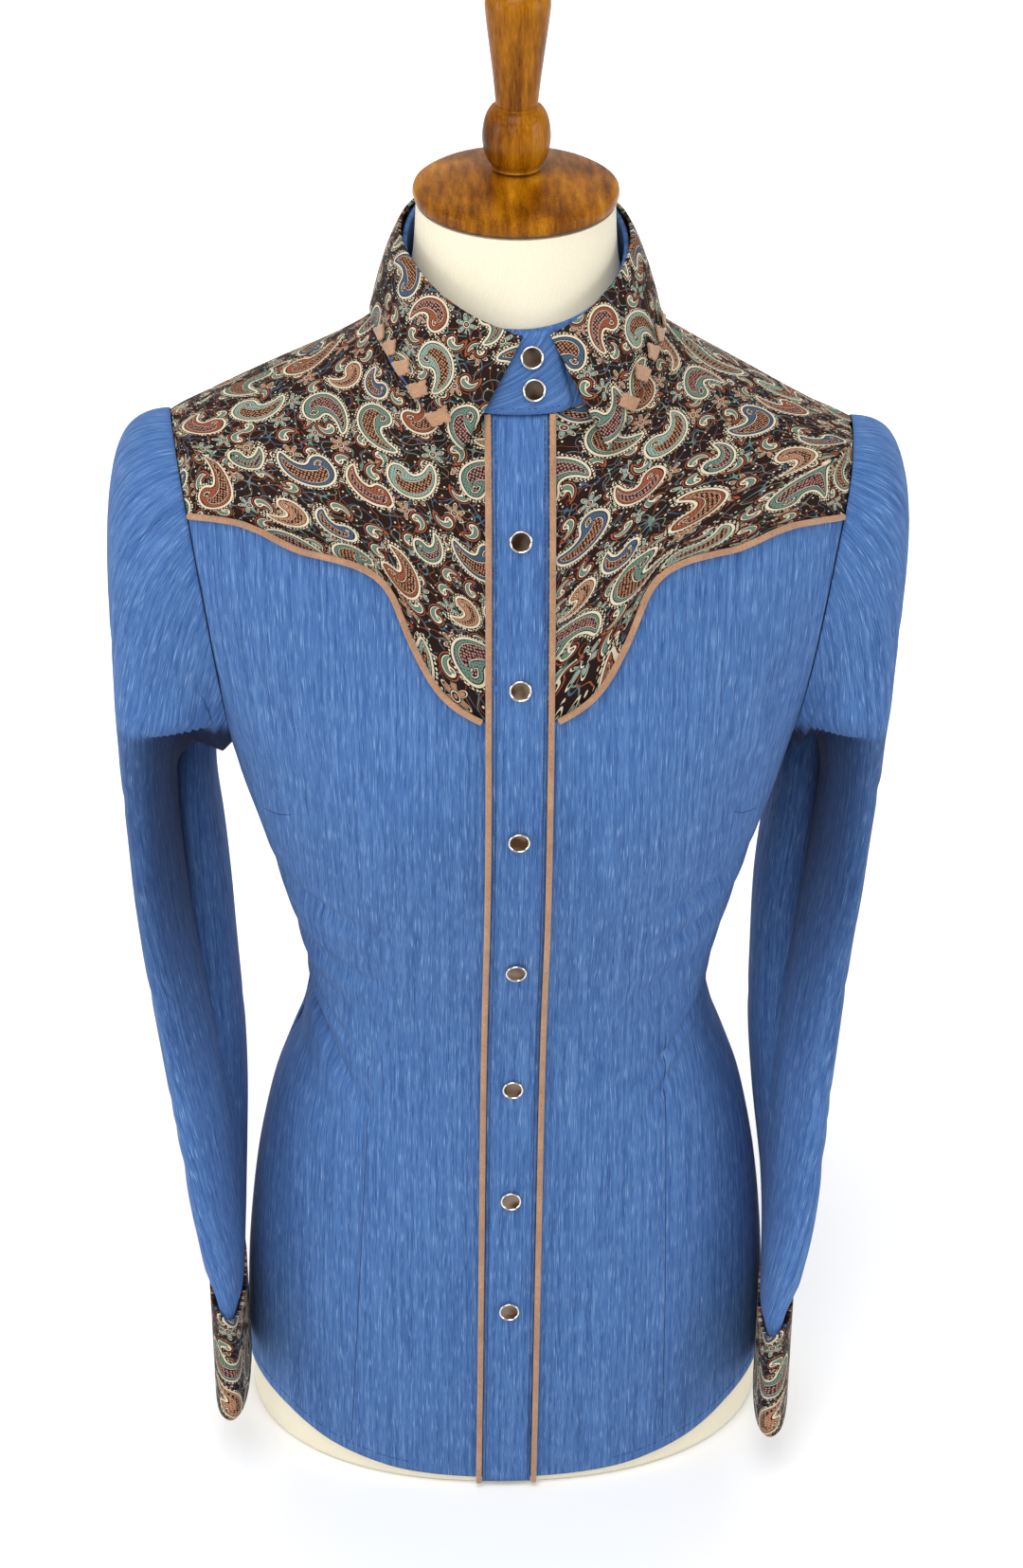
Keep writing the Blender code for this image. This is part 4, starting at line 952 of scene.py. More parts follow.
def make_front_snaps(looks):
    """Snaps down the placket and on the stand's tab."""
    above = CLOTH + 2 * GAP + 0.25
    for i, z in enumerate(FRONT_SNAPS, 1):
        x = placket_middle(z)
        base = on_front(x, z, 0.0)
        out = (on_front(x, z, 10.0) - base).normalized()
        make_snap(f"front_snap_{i}", base + out * above, out, f"snap_front_{i}", looks)
    turn = math.radians(STAND_SNAP_TURN)
    for i, rise in enumerate(STAND_SNAPS, 1):
        here = stand_point(turn, rise, STAND_OVERLAP)
        beside = stand_point(turn + 0.05, rise, STAND_OVERLAP) - here
        out = beside.cross(stand_point(turn, rise + 0.1, STAND_OVERLAP) - here).normalized()
        make_snap(f"tab_snap_{i}", here + out * (GAP + 0.5), out, f"snap_stand_{i}", looks)


# ------------------------------------------------------------------ collar
def stand_point(turn, rise, out):
    """Point of the stand's band: turn from the front, share of its height, distance out."""
    low = tilted_point(turn, NECK_HEIGHT, NECK_TILT)
    low.z += GAP + NECK_TILT * STAND_WALL + 0.1
    back = (1 - math.cos(turn)) / 2
    tall = STAND_RISE + (STAND_RISE_BACK - STAND_RISE) * back
    spot = section_point(turn, low.z + rise * tall)
    away = Vector((spot.x, spot.y, 0)).normalized()
    return spot + away * (STAND_WALL - CLOTH + 2.0 * rise + out)


def collar_fold_point(turn):
    """Point of the collar's fold line, lifted over the stand's overlap at the front."""
    around = math.degrees(turn) + COLLAR_MIDDLE
    lift = STAND_OVERLAP * max(0.0, min(1.0, (around + 60) / 40)) * max(0.0, min(1.0, (45 - around) / 25))
    spot = stand_point(math.radians(around), 1.0, COLLAR_WALL / 2 + GAP + 0.4 + lift)
    spot.z = read(COLLAR_FOLD, 1, math.degrees(abs(turn)))
    return spot


def collar_edge_point(turn):
    """Point of the fallen edge, over the yoke at a distance from the axis."""
    table = COLLAR_EDGE_LEFT if turn > 0 else COLLAR_EDGE_RIGHT
    reach = read(table, 1, math.degrees(abs(turn)))
    turn += math.radians(COLLAR_MIDDLE)
    x, y = reach * math.sin(turn), -reach * math.cos(turn)
    back = y > 0
    height = min(halved(COLLAR_SEARCH, 30, lambda z: inside_body(x, y, z) < 0)[0], COLLAR_TOP)
    on = on_front(x, height, 0.0, back)
    return on + (on_front(x, height, 10.0, back) - on).normalized() * COLLAR_REST


COLLAR_LINES = {}


def collar_point(s, v):
    """Point of the collar: s runs from -1 (right tip) to 1 (left tip), v from fold to edge."""
    if s not in COLLAR_LINES:
        first_fold = math.radians(COLLAR_FOLD[0][0])
        share, side = 1 - abs(s), math.copysign(1, s)
        table = COLLAR_EDGE_LEFT if side > 0 else COLLAR_EDGE_RIGHT
        first_edge = math.radians(table[0][0])
        fold = collar_fold_point(side * (first_fold + (math.pi - first_fold) * share))
        edge = collar_edge_point(side * (first_edge + (math.pi - first_edge) * share))
        flat = Vector((fold.x, fold.y, 0)).normalized()
        COLLAR_LINES[s] = (fold, fold + flat * COLLAR_ROLL + (edge - fold) * 0.30, edge)
    fold, roll, edge = COLLAR_LINES[s]
    return fold * (1 - v) ** 2 + roll * 2 * v * (1 - v) + edge * v * v


def make_collar(looks):
    """The stand with its tab, the fallen collar and the suede lacing over its edge."""
    start, finish = math.radians(STAND_START), math.radians(STAND_FINISH)

    def stand_spot(u, v):
        turn = start + (finish - start) * u
        lift = STAND_OVERLAP * ease(turn, (math.radians(300), math.radians(340)))
        left = min(1.0, (finish - turn) / math.radians(6))
        corner = 0.12 * (1 - math.sqrt(max(0.0, 1 - (1 - left) ** 2)))
        return stand_point(turn, corner + (1 - 2 * corner) * v, lift)

    cloth_piece("stand_band", "collar_stand", (200, 12), stand_spot, looks["chambray"], STAND_WALL,
                "stretched", ["form_torso", "back_yoke"])
    cloth_piece("collar_leaf", "collar", (160, 26), lambda u, v: collar_point(2 * u - 1, v),
                looks["paisley"], COLLAR_WALL, "folded", ["stand_band"], offset=0.0,
                flip=True, start=(40.0, 8.0), grain=0.5)
    for side, word in SIDES:
        for i, place in enumerate(LACE_PLACES, 1):
            make_lace(f"lace_{word}_{i}", side, place, f"lacing_{word}_{i}", looks)


def make_lace(name, side, place, node, looks):
    """One stitch of lacing: a short level strap over the collar's slanting edge, frayed."""
    s = side * (1 - place)
    foot = collar_point(s, 1.0)
    aside = (collar_point(s + 0.02, 1.0) - collar_point(s - 0.02, 1.0)).normalized()
    into = (collar_point(s, 0.8) - foot).normalized()
    up = into.cross(aside).normalized()
    up = up if up.z > 0 else -up
    aslant = up.cross(Vector((0, 0, 1))).normalized()
    level = (aslant + into * 0.9).normalized()
    if level.dot(into) < 0.5:
        level = (-aslant + into * 0.9).normalized()
    breadth = up.cross(level)
    breadth = breadth if breadth.dot(aside) > 0 else -breadth
    over = (COLLAR_WALL + LACE_THICK) / 2 + GAP + 0.8
    centre = ((LACE_LONG, over + 0.9), (6.0, over + 0.2), (0.4, over + 0.1),
              (-1.5, 1.0), (-1.5, -1.0), (0.4, -over - 0.1), (1.6, -over))

    def spot(u, v):
        place_along = v * (len(centre) - 1)
        i = min(int(place_along), len(centre) - 2)
        s = place_along - i
        run, high = (a + (b - a) * s for a, b in zip(centre[i], centre[i + 1]))
        off = (u - 0.5) * LACE_WIDE
        off += noise.noise((run * 0.7 + 9 * u, place * 60, side * 7.0)) * 1.3 * abs(2 * u - 1)
        run -= off * aside.dot(level) / aside.dot(breadth) * max(0.0, min(1.0, run / LACE_LONG))
        run += noise.noise((u * 4.1, place * 50, side * 3.0)) * 1.8 * (1 - v) ** 3
        return foot + aside * off / aside.dot(breadth) + level * run + up * high

    mesh, _ = cloth_face(name, 10, 26, spot)
    piece = link(name, mesh, node)
    mesh.materials.append(looks["suede"])
    walled(piece, LACE_THICK, offset=0.0)


# ------------------------------------------------------------------ the form
def make_form(looks):
    """The jersey torso, the wooden cap and the turned finial."""
    heights = [0.0, 0.0, 1.2] + [4.0 + 782.0 * i / 170 for i in range(171)] + [FORM_NECK_TOP, FORM_NECK_TOP]

    def spot(u, v):
        k = round(v * (len(heights) - 1))
        height = heights[k]
        turn = 2 * math.pi * (u + 0.5)
        above = max(0.0, height - NECK_HEIGHT) / (FORM_NECK_TOP - NECK_HEIGHT)
        tilt = row_tilt(height) * (1 - above)
        point = tilted_point(turn, height, tilt)
        under = 3.5 * ease(height, (70.0, 120.0)) * (1 - ease(height, (640.0, 690.0)))
        point = moved(turn, point, -CLOTH - body(5, height) - under - (1.2 if k < 2 else 0.0))
        if k < 2 or k > len(heights) - 3:
            point.z = height
        if k == 0 or k == len(heights) - 1:
            point.x, point.y = point.x * 0.02, point.y * 0.02
        limit = armhole_x(point.z) - 8.0
        if 462.0 < point.z < 700.0:
            point.x = max(-limit, min(limit, point.x))
        return point

    mesh, _ = cloth_face("form_body", 120, len(heights) - 1, spot, closed=True)
    link("form_body", mesh, "form_torso")
    mesh.materials.append(looks["jersey"])
    turned_piece("cap_wood", CAP_PROFILE, "neck_cap", looks["walnut"], 128)
    turned_piece("finial_wood", smooth_profile(FINIAL_PROFILE), "finial", looks["walnut"], 96)


def smooth_profile(profile, steps=4):
    """More points along a profile, on a smooth curve through its own."""
    fine = []
    for i in range(len(profile) - 1):
        before, after = profile[max(i - 1, 0)], profile[min(i + 2, len(profile) - 1)]
        a, b = profile[i], profile[i + 1]
        for k in range(steps):
            s = k / steps
            fine.append(tuple(0.5 * (2 * p + (q - m) * s + (2 * m - 5 * p + 4 * q - n) * s * s
                                     + (3 * p - m - 3 * q + n) * s ** 3)
                              for m, p, q, n in zip(before, a, b, after)))
    fine = [(max(0.0, r), h) for r, h in fine]
    return fine + [profile[-1]]


# ------------------------------------------------------------------ creases pressed in
FRONT_CREASES = FRONT_FOLDS + (
    # across, height, half_length, half_width, slope_deg, depth
    (-107.9, 397.0, 23.1, 2.3, -12.0, 3.5),
    (-99.3, 384.0, 24.2, 6.3, -12.0, -2.7),
    (-101.2, 354.0, 22.0, 2.3, -6.0, 3.0),
    (-95.5, 341.0, 22.0, 6.3, -8.0, -2.3),
    (-102.2, 306.0, 33.0, 2.4, -44.0, 3.7),
    (-107.0, 286.0, 28.6, 2.3, -56.0, 2.9),
    (-91.7, 268.0, 30.8, 2.4, -52.0, 3.0),
    (-96.5, 297.0, 30.8, 6.3, -46.0, -2.3),
    (-114.6, 330.0, 15.4, 2.3, -10.0, 2.5),
    (110.8, 407.0, 17.6, 2.3, 10.0, 3.2),
    (103.1, 396.0, 19.8, 6.3, 8.0, -2.5),
    (101.2, 380.0, 19.8, 2.3, 6.0, 3.5),
    (96.5, 368.0, 19.8, 6.3, 12.0, -2.3),
    (88.8, 347.0, 22.0, 2.3, 12.0, 2.7),
    (84.0, 322.0, 24.2, 2.6, 16.0, 2.1),
    (98.4, 296.0, 30.8, 2.3, 40.0, 3.5),
    (91.7, 272.0, 33.0, 2.6, 50.0, 2.5),
    (99.3, 286.0, 28.6, 6.3, 46.0, -2.3),
    (44.0, 126.0, 26.0, 2.2, -4.0, 2.2),
    (56.0, 206.0, 28.0, 3.4, -8.0, 1.2),
    (40.0, 34.0, 22.0, 3.4, -6.0, 1.4),
    (-40.0, 170.0, 18.0, 4.0, 12.0, 0.5),
    (-140.0, 548.0, 22.0, 6.0, -58.0, 1.8),
    (-132.0, 526.0, 26.0, 4.0, -24.0, 1.2),
    (138.0, 540.0, 24.0, 6.0, 62.0, 1.8),
    (-82.0, 340.0, 118.0, 2.4, 90.0, 0.5),
    (85.0, 330.0, 129.8, 2.5, 90.0, 0.9),
)
DARTS = (
    ("dart_right", ((-82.0, 300.0), (-84.0, 240.0), (-90.0, 130.0), (-96.0, 22.0))),
    ("dart_left", ((88.0, 300.0), (89.0, 240.0), (91.0, 130.0), (92.0, 22.0))),
    ("bust_dart_right", ((-137.0, 452.0), (-128.0, 457.0), (-122.0, 462.0))),
    ("bust_dart_left", ((133.0, 452.0), (124.0, 457.0), (119.0, 462.0))),
)
BACK_CREASES = BACK_FOLDS + (
    # across  height  half_length  half_width  slope_deg  depth
    (80.0,     350.0,         26.0,        4.0,      10.0,   0.8),
    (-84.0,    286.0,         26.0,        4.0,     -20.0,   0.8),
)
SLEEVE_CREASES = (
    # angle_deg  height  half_angle_deg  half_height  depth  rise_per_deg
    (70.0,        455.0,           30.0,         5.0,   1.6,   0.25),
    (60.0,        560.0,           40.0,         6.0,   1.3,   0.50),
    (80.0,        590.0,           36.0,         7.0,   1.1,   0.45),
    (50.0,        330.0,           40.0,         6.0,   1.2,  -0.30),
    (74.0,        262.0,           34.0,         5.0,   1.6,   0.28),
    (58.0,        240.0,           40.0,         6.0,   1.3,  -0.22),
    (88.0,        178.0,           30.0,         6.0,   1.2,   0.20),
    (280.0,       470.0,           36.0,         7.0,   1.8,   0.25),
    (262.0,       262.0,           36.0,         6.0,   1.6,  -0.25),
)


LEDGE = {
    # side: angle_deg, half_angle_deg, height, fade heights, depth of the hollow under the head's overhang
    -1: (144.0, 44.0, 501.0, (140.0, 380.0), 20.0),
    1: (144.0, 42.0, 494.0, (140.0, 380.0), 20.0),
}
LEDGE_SLOPE = 0.05              # fall of the overhang's edge, for each degree round the sleeve


# ------------------------------------------------------------------ finishes
def tone(code):
    """Linear colour from a red, green, blue code of 0 to 255 each."""
    return tuple(((c / 255 + 0.055) / 1.055) ** 2.4 if c > 10 else c / 255 / 12.92 for c in code)


def shades(*stops):
    """Stops of a colour ramp, from places and colour codes."""
    return tuple((at, tone(code)) for at, code in stops)


class Finish:
    """A shader under construction: adds nodes and joins their sockets."""

    def __init__(self, name=None, tree=None):
        if tree is None:
            self.made = bpy.data.materials.new(name)
            self.made.use_nodes = True
            tree = self.made.node_tree
            self.shader = tree.nodes["Principled BSDF"]
        self.tree = tree

    def node(self, kind, inputs=(), **settings):
        """A node with its settings; inputs are joined or set in order, None leaves one alone."""
        made = self.tree.nodes.new("ShaderNode" + kind)
        for key, value in settings.items():
            setattr(made, key, value)
        for socket, value in zip(made.inputs, inputs):
            self.join(socket, value)
        return made

    def join(self, socket, value):
        """Set a socket to a value or link another to it."""
        if isinstance(value, bpy.types.NodeSocket):
            self.tree.links.new(value, socket)
        elif value is not None:
            socket.default_value = value

    def math(self, operation, *values, clamp=False):
        """One sum on numbers."""
        return self.node("Math", values, operation=operation, use_clamp=clamp).outputs[0]

    def weighed(self, *parts):
        """The sum of fields, each times its weight."""
        total = None
        for field, weight in reversed(parts):
            if total is None:
                total = self.math("MULTIPLY", field, weight)
            else:
                total = self.math("MULTIPLY_ADD", field, weight, total)
        return total

    def vector(self, operation, *values):
        """One sum on vectors."""
        made = self.node("VectorMath", values, operation=operation)
        return made.outputs["Value"] if operation in ("LENGTH", "DISTANCE") else made.outputs["Vector"]

    def mix(self, share, a, b):
        """Colour a turning into b."""
        made = self.node("Mix", data_type="RGBA")
        self.join(made.inputs[0], share)
        for socket, value in ((made.inputs[6], a), (made.inputs[7], b)):
            self.join(socket, (*value, 1.0) if isinstance(value, tuple) else value)
        return made.outputs[2]

    def bands(self, share, stops, sharp=True):
        """Colours along a share of 0 to 1, in bands or blended."""
        made = self.node("ValToRGB", (share,))
        made.color_ramp.interpolation = "CONSTANT" if sharp else "LINEAR"
        while len(made.color_ramp.elements) < len(stops):
            made.color_ramp.elements.new(1.0)
        for element, (at, colour) in zip(made.color_ramp.elements, stops):
            element.position = at
            element.color = (*colour, 1.0)
        return made.outputs[0]

    def noise(self, place, scale, detail=2.0, rough=0.5, flat=True):
        """Soft noise at a place."""
        made = self.node("TexNoise", noise_dimensions="2D" if flat else "3D")
        for key, value in (("Vector", place), ("Scale", scale), ("Detail", detail), ("Roughness", rough)):
            self.join(made.inputs[key], value)
        return made.outputs["Fac"]

    def cells(self, place, size, loose):
        """Scattered cells about size across: distance from the middle, offset and a random share."""
        made = self.node("TexVoronoi", voronoi_dimensions="2D")
        scaled = self.stretched(place, 1 / size, 1 / size)
        for key, value in (("Vector", scaled), ("Scale", 1.0), ("Randomness", loose)):
            self.join(made.inputs[key], value)
        offset = self.vector("SUBTRACT", scaled, made.outputs["Position"])
        offset = self.vector("MULTIPLY", offset, (size, size, 0.0))
        share = self.node("SeparateColor", (made.outputs["Color"],)).outputs[0]
        return self.math("MULTIPLY", made.outputs["Distance"], size), offset, share

    def stretched(self, place, across, along, deep=1.0):
        """A place with its axes scaled."""
        return self.vector("MULTIPLY", place, (across, along, deep))

    def flat_place(self, name="cloth"):
        """The place in a UV map, in millimetres."""
        return self.vector("MULTIPLY", self.node("UVMap", uv_map=name).outputs[0], (1000.0, 1000.0, 0.0))

    def object_place(self):
        """The place in the object, in millimetres."""
        return self.vector("MULTIPLY", self.node("TexCoord").outputs["Object"], (1000.0, 1000.0, 1000.0))

    def relief(self, height, depth, distance=0.001):
        """Raise the surface by a height."""
        made = self.node("Bump", (depth, distance))
        self.join(made.inputs["Height"], height)
        self.tree.links.new(made.outputs["Normal"], self.shader.inputs["Normal"])

    def surface(self, colour, rough, metal=0.0, **others):
        """Set the shader's own sockets."""
        self.join(self.shader.inputs["Base Color"], (*colour, 1.0) if isinstance(colour, tuple) else colour)
        self.join(self.shader.inputs["Roughness"], rough)
        self.shader.inputs["Metallic"].default_value = metal
        for key, value in others.items():
            self.join(self.shader.inputs[key.replace("_", " ")], value)
        return self.made


BROWN, CREAM, SAGE = tone((30, 15, 10)), tone((208, 196, 170)), tone((92, 120, 108))
SLATE, NAVY, CORAL = tone((64, 84, 108)), tone((16, 18, 50)), tone((140, 74, 50))
PEACH, MINT = tone((170, 120, 90)), tone((126, 152, 140))
REPEAT = (84.0, 100.0)
DROPS = (
    # across  along  size  turn_deg  curl    band    heart
    (75.8,     48.0,   6.2,   129.1,   1.10, SAGE,   NAVY),
    (41.3,     73.2,   5.6,   -52.6,  -1.15, CORAL,  BROWN),
    (6.0,      19.6,   6.0,   -40.8,   1.00, SLATE,  BROWN),
    (26.9,     65.7,   6.2,   169.4,  -1.05, SAGE,   BROWN),
    (34.6,     20.4,   5.2,   -63.2,   1.15, CORAL,  NAVY),
    (40.8,     37.6,   5.8,   -86.3,  -1.00, MINT,   BROWN),
    (79.5,     82.3,   4.6,    27.5,   1.20, PEACH,  BROWN),
    (55.4,      1.9,   4.2,   -78.6,  -1.10, SAGE,   NAVY),
    (21.6,     83.0,   4.4,   -92.0,   1.00, SLATE,  BROWN),
)


TENDRILS = (
    # shift  scale  middle  width  ink
    (0.0,    0.115, 0.50,   0.016, SAGE),
    (37.0,   0.130, 0.46,   0.012, CORAL),
    (71.0,   0.110, 0.54,   0.015, SLATE),
)


def drop_group():
    """A node group: distance in millimetres from the outline of one curled paisley drop."""
    tree = bpy.data.node_groups.new("paisley_drop", "ShaderNodeTree")
    for name in ("Place", "Centre"):
        tree.interface.new_socket(name, in_out="INPUT", socket_type="NodeSocketVector")
    for name in ("Size", "Turn", "Curl", "Tail", "Point"):
        tree.interface.new_socket(name, in_out="INPUT", socket_type="NodeSocketFloat")
    tree.interface.new_socket("Distance", in_out="OUTPUT", socket_type="NodeSocketFloat")
    f = Finish(tree=tree)
    given = tree.nodes.new("NodeGroupInput").outputs
    offset = f.vector("SUBTRACT", given["Place"], given["Centre"])
    half = (REPEAT[0] / 2, REPEAT[1] / 2, 1.0)
    offset = f.vector("WRAP", offset, half, tuple(-h for h in half))
    turned = f.node("VectorRotate", rotation_type="Z_AXIS")
    f.join(turned.inputs["Vector"], offset)
    f.join(turned.inputs["Angle"], f.math("MULTIPLY", given["Turn"], -1.0))
    scaled = f.node("VectorMath", (turned.outputs[0],), operation="SCALE")
    f.join(scaled.inputs["Scale"], f.math("DIVIDE", 1.0, given["Size"]))
    parts = f.node("SeparateXYZ", (scaled.outputs[0],)).outputs
    radius = f.math("ADD", f.vector("LENGTH", scaled.outputs[0]), 0.0001)
    curl = f.math("MULTIPLY", given["Curl"], 0.75)
    angle = f.math("ARCTAN2", parts[1], parts[0])
    angle = f.math("MULTIPLY_ADD", f.math("SUBTRACT", radius, 0.45), curl, angle)
    lobe = f.math("MULTIPLY_ADD", f.math("COSINE", angle), 0.4999, 0.5)
    reach = f.math("MULTIPLY_ADD", f.math("POWER", lobe, given["Point"]), given["Tail"], 0.9)
    steep = f.math("POWER", lobe, f.math("SUBTRACT", given["Point"], 1.0))
    steep = f.math("MULTIPLY", steep, f.math("SINE", angle))
    steep = f.math("MULTIPLY", steep, f.math("MULTIPLY", given["Tail"], given["Point"]))
    steep = f.math("MULTIPLY", steep, -0.5)
    inwards = f.math("SUBTRACT", 1.0, f.math("MULTIPLY", steep, curl))
    aside = f.math("DIVIDE", steep, radius)
    slope = f.math("ADD", f.math("MULTIPLY", inwards, inwards), f.math("MULTIPLY", aside, aside))
    slope = f.math("SQRT", slope)
    distance = f.math("MULTIPLY", f.math("DIVIDE", f.math("SUBTRACT", radius, reach), slope), given["Size"])
    tree.links.new(distance, tree.nodes.new("NodeGroupOutput").inputs["Distance"])
    return tree


def drop_distance(f, group, place, centre, size, turn, curl, tail, point):
    """One use of the drop group."""
    made = f.node("Group")
    made.node_tree = group
    for socket, value in zip(made.inputs, (place, centre, size, turn, curl, tail, point)):
        f.join(socket, value)
    return made.outputs["Distance"]


def outline(*marks):
    """Stops for a band of lines about a drop's outline, given in millimetres from it."""
    return tuple(((far + 8) / 10, ink) for far, ink in marks)


def paisley_cotton():
    """Dark brown cotton printed with curled drops, flowers, tendrils and fine dots."""
    f = Finish("paisley_cotton")
    group = drop_group()
    place = f.flat_place()
    colour = BROWN
    dust, _, _ = f.cells(place, 5.2, 0.95)
    colour = f.mix(f.math("LESS_THAN", dust, 0.45), colour, CREAM)
    for shift, scale, middle, wide, ink in TENDRILS:
        wave = f.noise(f.vector("ADD", place, (shift, shift, 0.0)), scale, 0.0)
        near = f.math("ABSOLUTE", f.math("SUBTRACT", wave, middle))
        colour = f.mix(f.math("LESS_THAN", near, wide), colour, ink)
    colour = flowers(f, place, colour)
    _, offset, share = f.cells(f.vector("ADD", place, (5.0, 3.0, 0.0)), 16.5, 0.6)
    turn = f.math("MULTIPLY", share, 25.0)
    near = drop_distance(f, group, offset, (0.0, 0.0, 0.0), 2.2, turn, 1.3, 2.1, 4.0)
    inner = f.bands(f.math("MULTIPLY_ADD", near, 0.1, 0.8),
                    outline((-8.0, SAGE), (-1.3, BROWN), (-1.0, CREAM), (-0.35, BROWN), (0.3, CORAL),
                            (0.8, BROWN)))
    colour = f.mix(f.math("LESS_THAN", near, 1.5), colour, inner)
    near, band, heart = None, None, None
    for across, along, size, turn, curl, band_ink, heart_ink in DROPS:
        here = drop_distance(f, group, place, (across, along, 0.0), size, math.radians(turn), curl, 2.4, 4.0)
        if near is None:
            near, band, heart = here, band_ink, heart_ink
            continue
        nearer = f.math("LESS_THAN", here, near)
        band = f.mix(nearer, band, band_ink)
        heart = f.mix(nearer, heart, heart_ink)
        near = f.math("MINIMUM", here, near)
    share = f.math("MULTIPLY_ADD", near, 0.1, 0.8)
    black, white = (0.0, 0.0, 0.0), (1.0, 1.0, 1.0)
    lines = f.bands(share, outline((-8.0, BROWN), (-3.3, CREAM), (-2.9, BROWN), (-0.75, CREAM), (0.3, BROWN),
                                   (1.9, BROWN)))
    in_heart = f.math("LESS_THAN", near, -3.3)
    in_band = f.bands(share, outline((-8.0, black), (-2.55, white), (-1.15, black)))
    in_beads = f.bands(share, outline((-8.0, white), (-3.6, black), (0.55, white), (1.6, black)))
    lines = f.mix(in_heart, lines, heart)
    lines = f.mix(in_band, lines, band)
    bead, _, _ = f.cells(place, 1.45, 0.3)
    on_bead = f.math("MULTIPLY", f.math("LESS_THAN", bead, 0.5), in_beads)
    lines = f.mix(on_bead, lines, f.mix(in_heart, CREAM, PEACH))
    tick, _, _ = f.cells(place, 1.3, 0.2)
    lines = f.mix(f.math("MULTIPLY", f.math("LESS_THAN", tick, 0.26), in_band), lines, BROWN)
    colour = f.mix(f.math("LESS_THAN", near, 1.9), colour, lines)
    thread = f.noise(f.stretched(place, 3.0, 3.0), 1.0, 2.0)
    colour = f.mix(f.math("MULTIPLY", thread, 0.3), colour, f.mix(0.5, colour, BROWN))
    f.relief(thread, 0.2, 0.0004)
    return f.surface(colour, 0.7, Specular_IOR_Level=0.12)


def flowers(f, place, colour):
    """Round flowers of six pointed petals, scattered over the ground."""
    far, offset, share = f.cells(place, 19.0, 0.6)
    parts = f.node("SeparateXYZ", (offset,)).outputs
    angle = f.math("MULTIPLY_ADD", share, 6.28, f.math("ARCTAN2", parts[1], parts[0]))
    petal = f.math("ABSOLUTE", f.math("COSINE", f.math("MULTIPLY", angle, 3.0)))
    reach = f.math("MULTIPLY_ADD", f.math("POWER", petal, 1.6), 4.2, 1.5)
    near = f.math("SUBTRACT", far, reach)
    ink = f.mix(f.math("GREATER_THAN", share, 0.5), PEACH, MINT)
    flower = f.bands(f.math("MULTIPLY_ADD", near, 0.1, 0.8),
                     outline((-8.0, BROWN), (-0.55, CREAM), (0.0, BROWN)))
    flower = f.mix(f.math("LESS_THAN", near, -1.2), flower, ink)
    heart = f.bands(f.math("MULTIPLY", far, 0.1), ((0.0, PEACH), (0.07, NAVY), (0.13, CREAM), (0.17, BROWN)))
    flower = f.mix(f.math("LESS_THAN", far, 2.0), flower, heart)
    return f.mix(f.math("LESS_THAN", near, 0.6), colour, flower)


def chambray_cloth(name, lean=0.0):
    """Heathered blue chambray with long pale slubs along its grain, which may lean near the head; on a sleeve
    it also carries painted shade under the head.
    """
    f = Finish(name)
    place = f.flat_place()
    if lean:
        across, along, _ = f.node("SeparateXYZ", (place,)).outputs
        rise = f.math("MAXIMUM", f.math("SUBTRACT", 170.0, along), 0.0)
        across = f.math("MULTIPLY_ADD", f.math("MULTIPLY", rise, rise), lean, across)
        place = f.node("CombineXYZ", (across, along, 0.0)).outputs[0]
    fine = f.noise(f.stretched(place, 3.4, 0.07), 1.0, 3.0, 0.6)
    broad = f.noise(f.stretched(place, 0.5, 0.012), 1.0, 2.0, 0.5)
    slub = f.noise(f.stretched(f.vector("ADD", place, (90.0, 40.0, 0.0)), 1.5, 0.075), 1.0, 1.0)
    grain = f.noise(place, 2.4, 2.0)
    tint = f.weighed((fine, 0.5), (broad, 0.25), (grain, 0.25))
    colour = f.bands(tint, shades((0.36, (34, 64, 116)), (0.48, (58, 95, 150)), (0.58, (76, 114, 168)),
                                  (0.70, (122, 152, 192))), sharp=False)
    pale = f.math("MULTIPLY", f.math("SUBTRACT", slub, 0.62), 3.0, clamp=True)
    colour = f.mix(pale, colour, tone((138, 168, 208)))
    # On a sleeve: painted shade, near-black navy mixed in under the head's overhang by the sleeve's painted
    # shade mark.
    if lean:
        painted_shade = f.node("Attribute", attribute_name="painted_shade").outputs["Fac"]
        colour = f.mix(f.math("MULTIPLY", painted_shade, 0.95), colour, tone((0, 9, 46)))
    f.relief(f.math("ADD", fine, grain), 0.3, 0.0004)
    return f.surface(colour, 0.85, Sheen_Weight=0.03, Sheen_Roughness=0.5, Specular_IOR_Level=0.25)


def thread():
    """Navy sewing thread."""
    f = Finish("navy_thread")
    ply = f.noise(f.object_place(), 2.0, 2.0, flat=False)
    return f.surface(f.mix(ply, tone((20, 30, 66)), tone((44, 62, 112))), 0.7)


def suede():
    """Tan suede with a short, patchy nap."""
    f = Finish("tan_suede")
    place = f.object_place()
    nap = f.noise(place, 0.9, 4.0, 0.6, flat=False)
    patch = f.noise(place, 0.07, 2.0, flat=False)
    colour = f.bands(f.weighed((nap, 0.6), (patch, 0.4)),
                     shades((0.25, (120, 84, 58)), (0.5, (158, 115, 82)), (0.75, (188, 146, 110))),
                     sharp=False)
    f.relief(nap, 0.5, 0.0006)
    return f.surface(colour, 0.92, Sheen_Weight=0.3, Sheen_Roughness=0.6)


